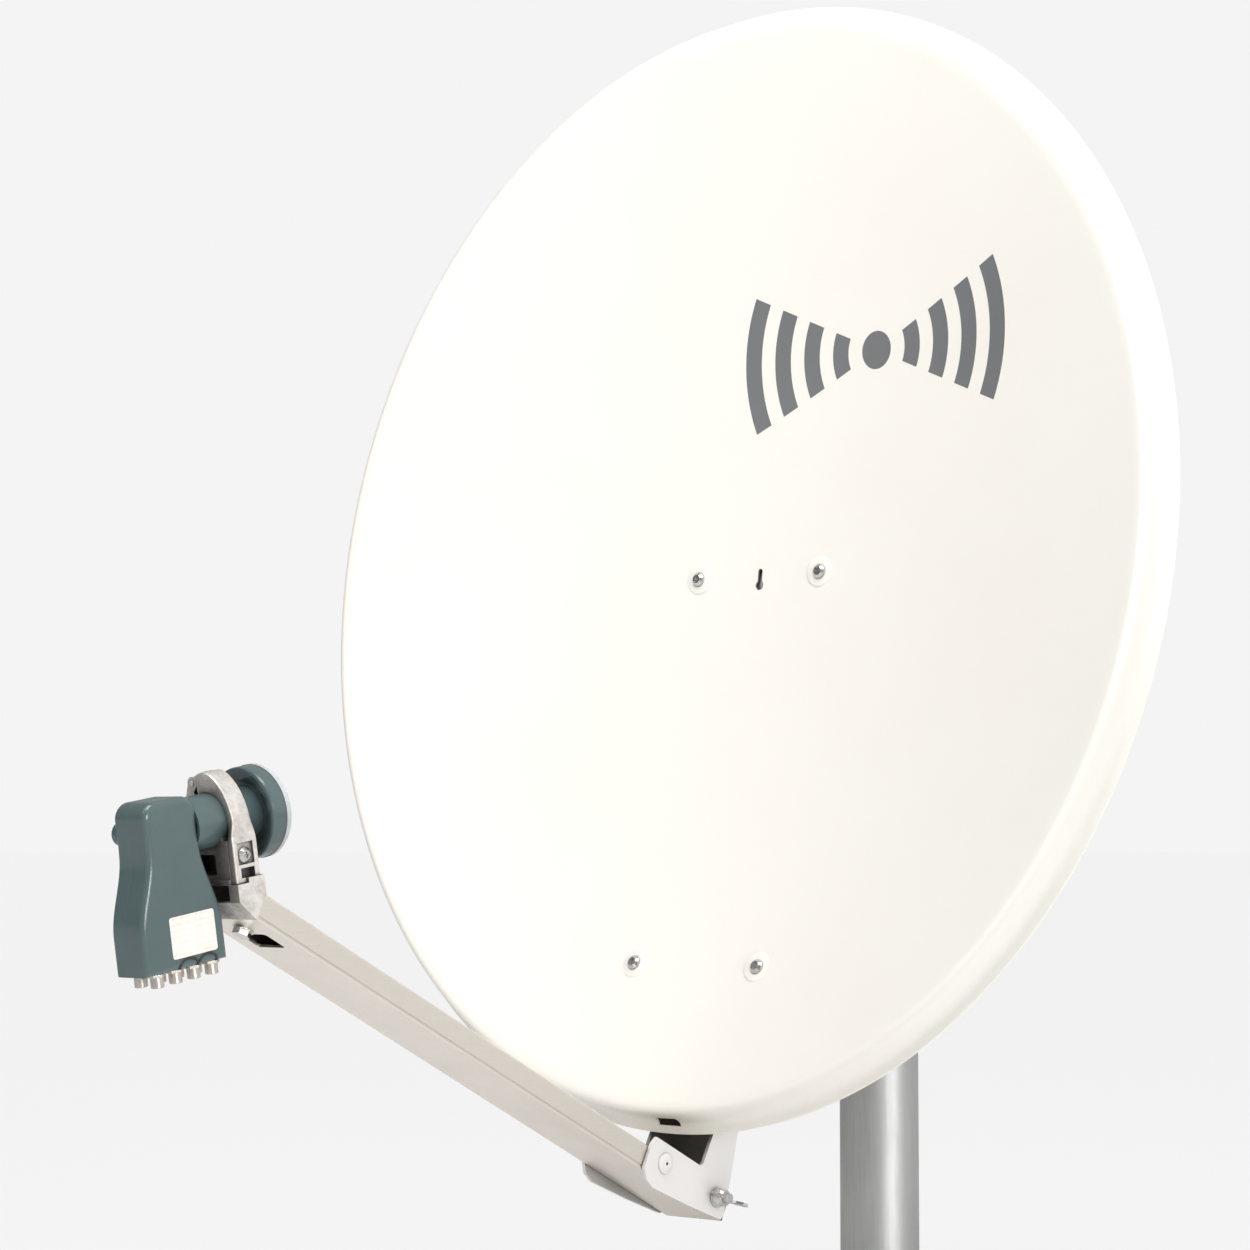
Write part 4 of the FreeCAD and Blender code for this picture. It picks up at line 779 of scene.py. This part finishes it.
def relief_line(name, points):
    """A raised moulded line on the right shell's face through (y, z) points."""
    curve = bpy.data.curves.new(name, "CURVE")
    curve.dimensions = "3D"
    curve.bevel_depth = LINE_RADIUS * MM
    curve.bevel_resolution = 3
    spline = curve.splines.new("POLY")
    spline.points.add(len(points) - 1)
    for point, (y, z) in zip(spline.points, points):
        point.co = (*at(NECK, case_face_x(z) + 0.05, y, z), 1)
    line = shown(name, curve)
    mesh = evaluated_mesh(line)
    bpy.data.objects.remove(line)
    mesh.materials.append(MATERIALS["black_plastic"])
    mesh.polygons.foreach_set("use_smooth", [True] * len(mesh.polygons))
    obj = shown(name, mesh)
    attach(obj, "lnb")


for k, middle in enumerate(ARCH_MIDDLES):
    angles = [math.pi * i / ARCH_STEPS for i in range(ARCH_STEPS + 1)]
    points = [(middle + ARCH_HALF_WIDTH * math.cos(a), ARCH_FOOT + ARCH_HEIGHT * math.sin(a)) for a in angles]
    relief_line("lower_rib_%d" % k, points)


# ---------------------------------------------------------------- camera, stage and lights, in metres
CAMERA_PLACE = Vector((1.6677, -2.2856, 0.4782))
CAMERA_BACK = Vector((0.6507, -0.7563, -0.0676)).normalized()  # from what it looks at towards the camera
LENS = 90.4
PALE = 0.905  # the pale grey of the studio
FLOOR_BOUNCE = 0.92  # the light that the floor gives back to the object
FLOOR_TONE = 0.12  # the part of the visible floor that takes shadows
FLOOR_GLOW = 0.815  # and its even part
FLOOR_HALF_SIZE = 200.0
FLOOR_DROP = -0.001


def grey(level):
    return (level, level, level, 1)


def camera():
    """The camera at the front, low on the right, level from side to side."""
    data = bpy.data.cameras.new("photo_camera")
    data.lens = LENS
    data.sensor_width = 36.0
    data.clip_end = 100.0
    obj = shown("photo_camera", data)
    right = Vector((0, 0, 1)).cross(CAMERA_BACK).normalized()
    up = CAMERA_BACK.cross(right)
    turn = Matrix((right, up, CAMERA_BACK)).transposed()
    obj.matrix_world = Matrix.Translation(CAMERA_PLACE) @ turn.to_4x4()
    bpy.context.scene.camera = obj


def floor_material():
    """Pale, and seen as a mix of shadow and glow that meets the surroundings without a line."""
    material = bpy.data.materials.new("studio_floor")
    net = Tree(material)
    plain = net.add("ShaderNodeBsdfDiffuse")
    plain.inputs["Color"].default_value = grey(FLOOR_BOUNCE)
    seen = net.add("ShaderNodeBsdfDiffuse")
    seen.inputs["Color"].default_value = grey(FLOOR_TONE)
    glow = net.add("ShaderNodeEmission")
    glow.inputs["Strength"].default_value = FLOOR_GLOW
    both = net.add("ShaderNodeAddShader")
    net.link(seen.outputs["BSDF"], both.inputs[0])
    net.link(glow.outputs["Emission"], both.inputs[1])
    net.split_view(plain.outputs["BSDF"], both.outputs["Shader"], "ShaderNodeOutputMaterial")
    return material


def stage():
    """A plain pale floor."""
    far = FLOOR_HALF_SIZE
    corners = [(-far, -far), (far, -far), (far, far), (-far, far)]
    mesh = bpy.data.meshes.new("studio_floor")
    mesh.from_pydata([(x, y, FLOOR_DROP) for x, y in corners], [], [(0, 1, 2, 3)])
    mesh.materials.append(floor_material())
    shown("studio_floor", mesh)


def world(dim, bright):
    """Soft surroundings that light the object more from behind on the right, and look plain and pale."""
    surroundings = bpy.data.worlds.new("studio")
    bpy.context.scene.world = surroundings
    net = Tree(surroundings)
    towards = net.add("ShaderNodeTexCoord").outputs["Generated"]
    share = net.spread(net.dot(towards, (0.62, 0.78, 0.0)), -1.0, 1.0)
    lit = net.add("ShaderNodeBackground")
    lit.inputs["Color"].default_value = grey(1)
    net.put(lit.inputs["Strength"], net.spread(net.calc("POWER", share, 2.5), 0.0, 1.0, dim, bright))
    seen = net.add("ShaderNodeBackground")
    seen.inputs["Color"].default_value = grey(1)
    seen.inputs["Strength"].default_value = PALE
    net.split_view(lit.outputs["Background"], seen.outputs["Background"], "ShaderNodeOutputWorld")


def aim(obj, towards):
    """Turn a light so that its back is towards a direction and it shines the other way."""
    obj.rotation_mode = "QUATERNION"
    obj.rotation_quaternion = towards.to_track_quat("Z", "Y")


def far_softbox(name, towards, power, angle):
    """A wide soft light from far away, so that the floor is lit evenly. towards points at the light."""
    data = bpy.data.lights.new(name, "SUN")
    data.energy = power
    data.angle = math.radians(angle)
    aim(shown(name, data), Vector(towards))


def near_softbox(name, place, target, size, power):
    """A square softbox that hangs over the object and points at a target."""
    data = bpy.data.lights.new(name, "AREA")
    data.shape = "SQUARE"
    data.size = size
    data.energy = power
    obj = shown(name, data)
    obj.location = place
    aim(obj, Vector(place) - Vector(target))


camera()
stage()
world(0.14, 1.10)
bpy.context.scene.view_settings.view_transform = "Standard"
far_softbox("right_key", (0.94, -0.28, 0.10), 1.70, 26)
far_softbox("left_fill", (-0.18, -0.62, 0.76), 0.66, 40)
near_softbox("overhead_softbox", (0.5, -1.25, 2.3), (0.0, -0.25, 0.72), 1.2, 31)
